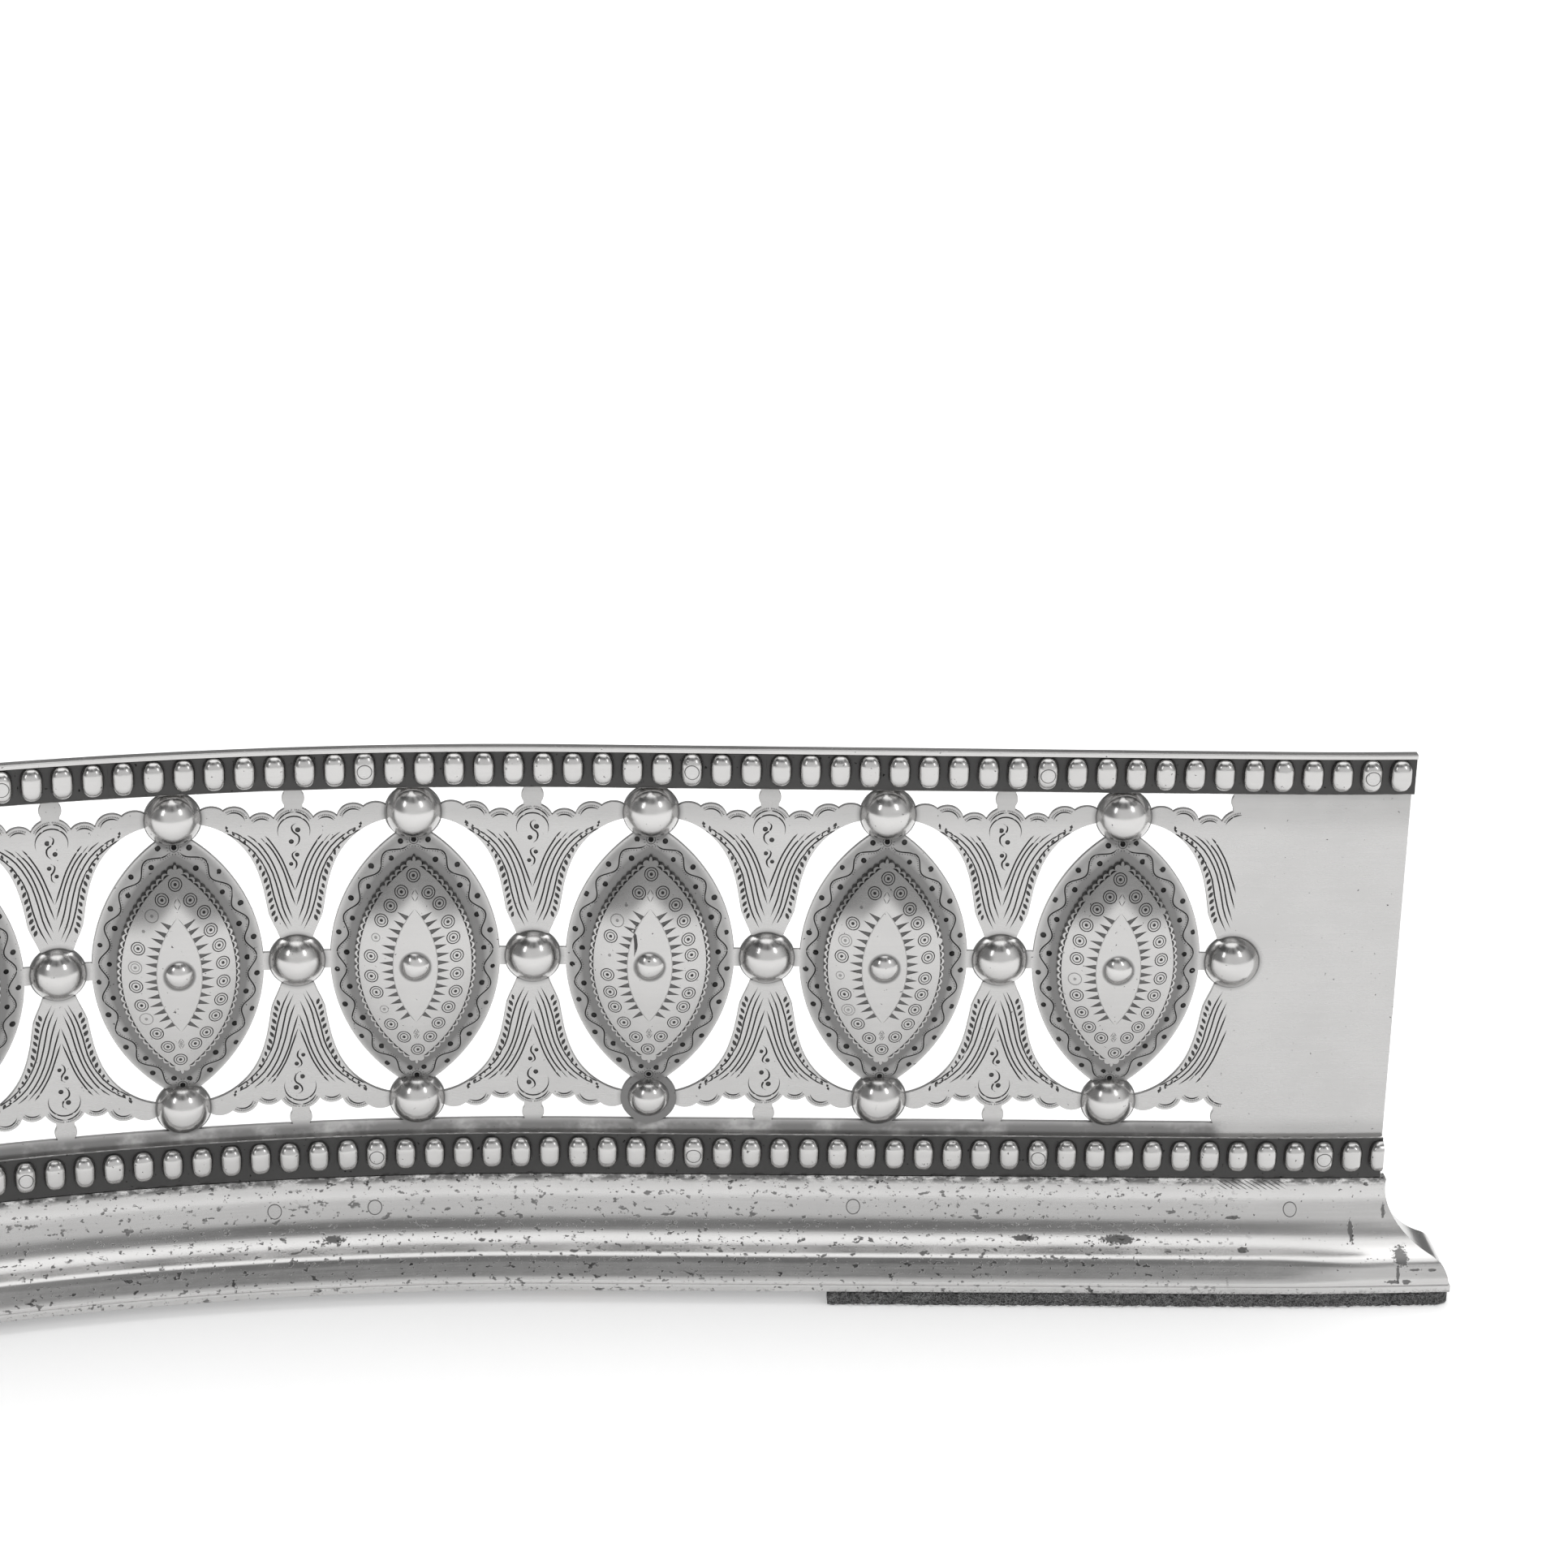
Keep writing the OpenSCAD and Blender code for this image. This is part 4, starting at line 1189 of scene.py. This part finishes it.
def drawn(rows, places, phase):
    """Gives a swept moulding's rows the slight waves of the drawing."""
    along = places[:, None] / 1000
    wave = np.sin(along * 41 + phase) + 0.7 * np.sin(along * 97 + 2 * phase)
    wave = wave + 0.5 * np.sin(along * 170)
    wave = wave * np.cos(moulding[:, 1] / 5 + 1.5 * np.sin(along * 23 + phase))
    return rows - np.where(seen, 0.05 + 0.022 * wave, 0)


def flattened(places):
    """How far the nose is flattened at each place, from 0 at the mitres to 1."""
    part = np.clip((677 - np.abs(places)) / 40, 0, 1)[:, None]
    return part * part * (3 - 2 * part)


def moulded(name, s, o, z, points, closed_end=False):
    faces = grid(*s.shape, True)[:, ::-1].tolist()
    if closed_end:
        last = np.arange(s.shape[1]) + (s.shape[0] - 1) * s.shape[1]
        faces.append(last.tolist())
    laid = np.stack([s, z, o], -1).reshape(-1, 3)
    thing = piece(name, base_finish, points.reshape(-1, 3), faces, laid)
    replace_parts(thing, name)


def corner(side, o, z, depth):
    """Points out from the mitre on one side, depth behind the frieze's face, in metres."""
    end = stand(side * half_length, 0, 0)
    turned_by = heading(side * half_length)
    along = np.array([np.cos(turned_by), np.sin(turned_by), 0]) * side
    back = np.array([-np.sin(turned_by), np.cos(turned_by), 0])
    up = np.array([0, 0, 1])
    return end + (o[..., None] * along + depth[..., None] * back + z[..., None] * up) / 1000


places = np.linspace(-half_length, half_length, 681)
s = np.repeat(places[:, None], len(moulding), 1)
section = moulding + flattened(places)[..., None] * (worn - moulding)
z = section[..., 1]
o = drawn(section[..., 0], places, 1.3)
points = stand(s, z, o)
for side in (-1, 1):
    row = (o[0] if side < 0 else o[-1]) - seam
    reach = np.linspace(0, 1, 13)[1:, None] * row
    row = row + 0 * reach
    high = moulding[:, 1] + 0 * reach
    end = corner(side, reach, high, -row - seam)
    parts = [(points, end), (s, side * (half_length + reach)), (z, high), (o, row)]
    points, s, z, o = (
        np.vstack([more[::-1], part] if side < 0 else [part, more]) for part, more in parts
    )
moulded("base_moulding", s, o, z, points)

# ---- Base returns ----
# Pieces of the same moulding, mitred to the long one, that close its ends. They run back only
# to the back of the frieze. Their faces are left as they were filed.

for side, name in ((-1, "base_return_left"), (1, "base_return_right")):
    share = np.append(np.linspace(0, 1, 9), 1 + return_length)[:, None]
    row = drawn(moulding[None, :, 0], np.array([side * 700.0]), 4.1)
    o = row + 0 * share
    z = moulding[:, 1] + 0 * share
    depth = np.where(share <= 1, (-row + seam) * (1 - share), share - 1)
    points = corner(side, o, z, depth)
    s = side * (half_length + 44 + depth)
    if side < 0:
        points, s, o, z = (a[:, ::-1] for a in (points, s, o, z))
    moulded(name, s, o, z, points, True)

# ---- Base rivets ----
# Steel pins through the cove, the frieze and the bar behind, which hold the three together.
# Their heads are filed to the cove's own hollow.

base_rivet_z = 29.5
base_rivet_head = 2.4
bar_back = -7.6


def cove_face(s, z):
    return cove[0] - np.sqrt(cove[2] ** 2 - (z - cove[1]) ** 2) - 0.03


parts = []
for place in (-647, -488, -315, -160.03, 0, 160.03, 279, 315, 488, 647):
    parts.append(flush_head(place, base_rivet_z, base_rivet_head, cove_face))
    parts.append(tail(place, base_rivet_z, bar_back, tail_radius))
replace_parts(group("base_rivets", rivet_finish, parts), "base_rivets")

# ---- Iron behind ----
# The bar behind the frieze's foot, and the strips that close the moulding's underside with
# their rivets. All are plain wrought iron, black from the fire.

iron = Finish("back_iron", 0.85, 0.55)
place = iron.add("TexCoord", {}, {}, "Object")
scale = iron.noise(place, 60, 6, 0.7)
hammered = iron.noise(place, 420, 3, 0.5)
rust = iron.noise(place, 22, 5, 0.6).rise(0.52, 0.68)
tone = 0.055 * (0.7 + 0.7 * scale)
colour = iron.colour(tone * (1 + 0.9 * rust), tone * (1 + 0.25 * rust), tone * (1 - 0.15 * rust))
iron.paint(colour, 0.42 + 0.25 * scale + 0.15 * rust, 0.7 * hammered + 0.5 * scale, 0.00025)
for name in (
    "backing_bar", "sole_strip_left", "sole_strip_right", "sole_return_left",
    "sole_return_right", "sole_rivets",
):
    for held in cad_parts[name].material_slots:
        held.material = iron.material

# ---- Felt ----
# Thick grey wool felt, cut to the sole and glued under both ends and under the bow. Its cut
# edges have gone fluffy.

felt_finish = Finish("felt", 0.0, 0.95)
place = felt_finish.laid()
mottle = felt_finish.noise(place, 700, 5, 0.75)
clump = felt_finish.noise(place, 180, 3, 0.6)
# On the felt this attribute marks the loose fibres, which are paler.
loose = felt_finish.read("grime_and_shade")
wool = 0.012 + 0.085 * mottle.rise(0.35, 0.75) + 0.03 * clump + loose * (0.1 + 0.3 * clump)
felt_finish.paint(felt_finish.grey(wool), 0.95, mottle + 0.6 * clump, 0.0006)
felt_thick = 5
felt_front = 24.2
felt_back = -13
end_pad = 201
middle_pad = 200
rounding = 6
fibres_per_mm = 22
fibre_half = 0.045


def fibre(root):
    """A loose fibre as a thin curling ribbon: four pairs of points."""
    way = chance.normal(0, 1, 3) * (1, 0.7, 0.35)
    way /= np.linalg.norm(way)
    curl = chance.normal(0, 0.5, 3)
    across = np.cross(way, (0.2, 0.3, 0.93))
    across *= fibre_half / np.linalg.norm(across)
    reach = chance.uniform(0.6, 2.2)
    pairs = []
    for k, f in enumerate((0, 0.4, 0.7, 1.0)):
        point = root + way * reach * f + curl * reach * f * f * 0.6
        point[1] = np.clip(point[1], 0.08, felt_thick + 1.1)
        half = across * (1 - 0.2 * k)
        pairs += [point - half, point + half]
    return np.array(pairs)


def felt_block(points_at, long, low, high, outs):
    """A pad of felt over length positions long and widths from low to high, with loose fibres
    on the sides named in outs. points_at gives the room's place of (length, z, width)."""
    across = np.linspace(low, high, 24)
    up = np.linspace(0, felt_thick, 6)
    section = [(w, felt_thick) for w in across[:-1]] + [(high, u) for u in up[::-1][:-1]]
    section += [(w, 0) for w in across[::-1][:-1]] + [(low, u) for u in up[:-1]]
    section = np.array(section, float)
    middle = np.array([(low + high) / 2, felt_thick / 2])
    inner = middle + (section - middle) * (1 - 0.35 / np.array([(high - low) / 2, felt_thick / 2]))
    rows, n = len(long), len(section)
    length = np.repeat(long[:, None], n, 1) + chance.normal(0, 0.12, (rows, n))
    width = inner[:, 0] + chance.normal(0, 0.16, length.shape)
    z = inner[:, 1] + chance.normal(0, 0.12, length.shape)
    length = np.clip(length, long[0], long[-1])
    width, z = np.clip(width, low, high), np.clip(z, 0.0, felt_thick)
    faces = grid(rows, n, True).tolist()
    faces += [list(range(n))[::-1], list(range((rows - 1) * n, rows * n))]
    laid = [np.stack([length, z, width], -1).reshape(-1, 3)]
    solid = count = rows * n
    fibres = int(len(outs) * abs(long[-1] - long[0]) * fibres_per_mm) // len(outs)
    for side in outs:
        for _ in range(fibres):
            root = (chance.uniform(long[0], long[-1]), chance.uniform(0.1, felt_thick + 0.4), side)
            laid.append(fibre(np.array(root)))
            faces += [[a, a + 1, a + 3, a + 2] for a in (count, count + 2, count + 4)]
            count += 8
    laid = np.vstack(laid)
    return points_at(*laid.T), faces, laid, 1.0 * (np.arange(count) >= solid)


def felted(name, points, faces, laid, loose):
    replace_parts(piece(name, felt_finish, points, faces, laid, loose, crisp=180), name)


for name, start, end in [
    ("felt_pad_left", -half_length, -half_length + end_pad),
    ("felt_pad_middle", -middle_pad / 2, middle_pad / 2),
    ("felt_pad_right", half_length - end_pad, half_length),
]:
    places = np.arange(start, end + 0.5, 1.0)
    felted(name, *felt_block(stand, places, felt_back, felt_front, (felt_front, felt_back)))
for side, name in ((-1, "felt_return_left"), (1, "felt_return_right")):

    def at_return(o, z, depth):
        cut = np.clip(o - felt_front + rounding, 0, rounding)
        front = felt_front - rounding + np.sqrt(rounding**2 - cut**2)
        return corner(side, o, z, depth * np.where(depth < 0, front / felt_front, 1))

    places = np.arange(0.2, felt_front, 0.8)
    points, faces, laid, loose = felt_block(
        at_return, places, -felt_front, return_length, (-felt_front,)
    )
    if side > 0:
        faces = [face[::-1] for face in faces]
    felted(name, points, faces, laid + (800, 0, 0), loose)

# ---- The studio ----
# A white floor in a white room. In front of the fender the walls are dim up to 40 degrees over
# the horizon, then comes a dark shelf, and over that a bright ceiling. Behind it they're dark
# up to 30 degrees. The steel mirrors all of this, and two small soft boxes add glints.

floor_finish = Finish("floor", 0.0, 0.6)
for name, value in [
    ("Base Color", (0.9, 0.9, 0.9, 1)),
    ("Emission Color", (1, 1, 1, 1)),
    ("Emission Strength", 0.36),
    ("Specular IOR Level", 0),
]:
    floor_finish.surface.inputs[name].default_value = value
floor_mesh = bpy.data.meshes.new("floor")
floor_mesh.from_pydata([(-9, -9, 0), (9, -9, 0), (9, 9, 0), (-9, 9, 0)], [], [(0, 1, 2, 3)])
floor_mesh.materials.append(floor_finish.material)
floor = bpy.data.objects.new("floor", floor_mesh)
bpy.context.scene.collection.objects.link(floor)

world = bpy.data.worlds.new("studio")
world.use_nodes = True
bpy.context.scene.world = world
sky = Nodes(world.node_tree)
x, y, z = sky.split(sky.add("TexCoord", {}, {}, "Generated"))
azimuth = x.math("ARCTAN2", x, 0 - y)
degrees_up = z.math("ARCSINE", z) * 57.3
streak = sky.noise(sky.add("CombineXYZ", {}, {0: azimuth}), 3.1, 2, 0.5).rise(0.42, 0.58)
side = azimuth.rise(-0.9, -0.3) * azimuth.rise(1.7, 0.9)
low = 0.25 + 0.6 * side
shelf = 0.08 + 0.45 * streak * side
high = 1.2 + 0.8 * streak
front = low * degrees_up.rise(43, 37) + shelf * degrees_up.rise(37, 43) * degrees_up.rise(73, 63)
front = front + high * degrees_up.rise(63, 73)
rear = 0.2 + 1.8 * degrees_up.rise(30, 38)
behind = y.rise(-0.05, 0.2)
background = world.node_tree.nodes["Background"].inputs
background["Color"].default_value = (1, 1, 1, 1)
sky.feed(background["Strength"], front * (1 - behind) + rear * behind)


def softbox(name, place, target):
    light = bpy.data.lights.new(name, "AREA")
    light.shape = "RECTANGLE"
    light.size, light.size_y, light.energy = 0.35, 0.9, 4
    thing = bpy.data.objects.new(name, light)
    thing.location = place
    thing.rotation_euler = (Vector(target) - Vector(place)).to_track_quat("-Z", "Y").to_euler()
    bpy.context.scene.collection.objects.link(thing)


softbox("left_box", (-1.1, -1.9, 1.7), (0.2, 0, 0.1))
softbox("right_box", (1.9, -1.6, 1.7), (0.5, 0, 0.1))

# The camera stands where the photographer's stood, by the right half of the fender.
yaw, pitch_down, roll = 0.03514, 0.36865, 0.02311
camera_place = (0.409794, (face_front - 1198.70) / 1000, 0.677172)
flat_way = (np.sin(yaw) * np.cos(pitch_down), np.cos(yaw) * np.cos(pitch_down))
forward = Vector((*flat_way, -np.sin(pitch_down)))
level = Vector((np.cos(yaw), -np.sin(yaw), 0))
up = level.cross(forward)
right = np.cos(roll) * level + np.sin(roll) * up
top = -np.sin(roll) * level + np.cos(roll) * up
camera_data = bpy.data.cameras.new("camera")
camera_data.lens = 88.85
camera_data.sensor_width = 36
camera_data.clip_start = 0.01
camera = bpy.data.objects.new("camera", camera_data)
aimed = Matrix((right, top, -forward)).transposed().to_4x4()
camera.matrix_world = Matrix.Translation(camera_place) @ aimed
bpy.context.scene.collection.objects.link(camera)
bpy.context.scene.camera = camera
bpy.context.scene.view_settings.view_transform = "Standard"
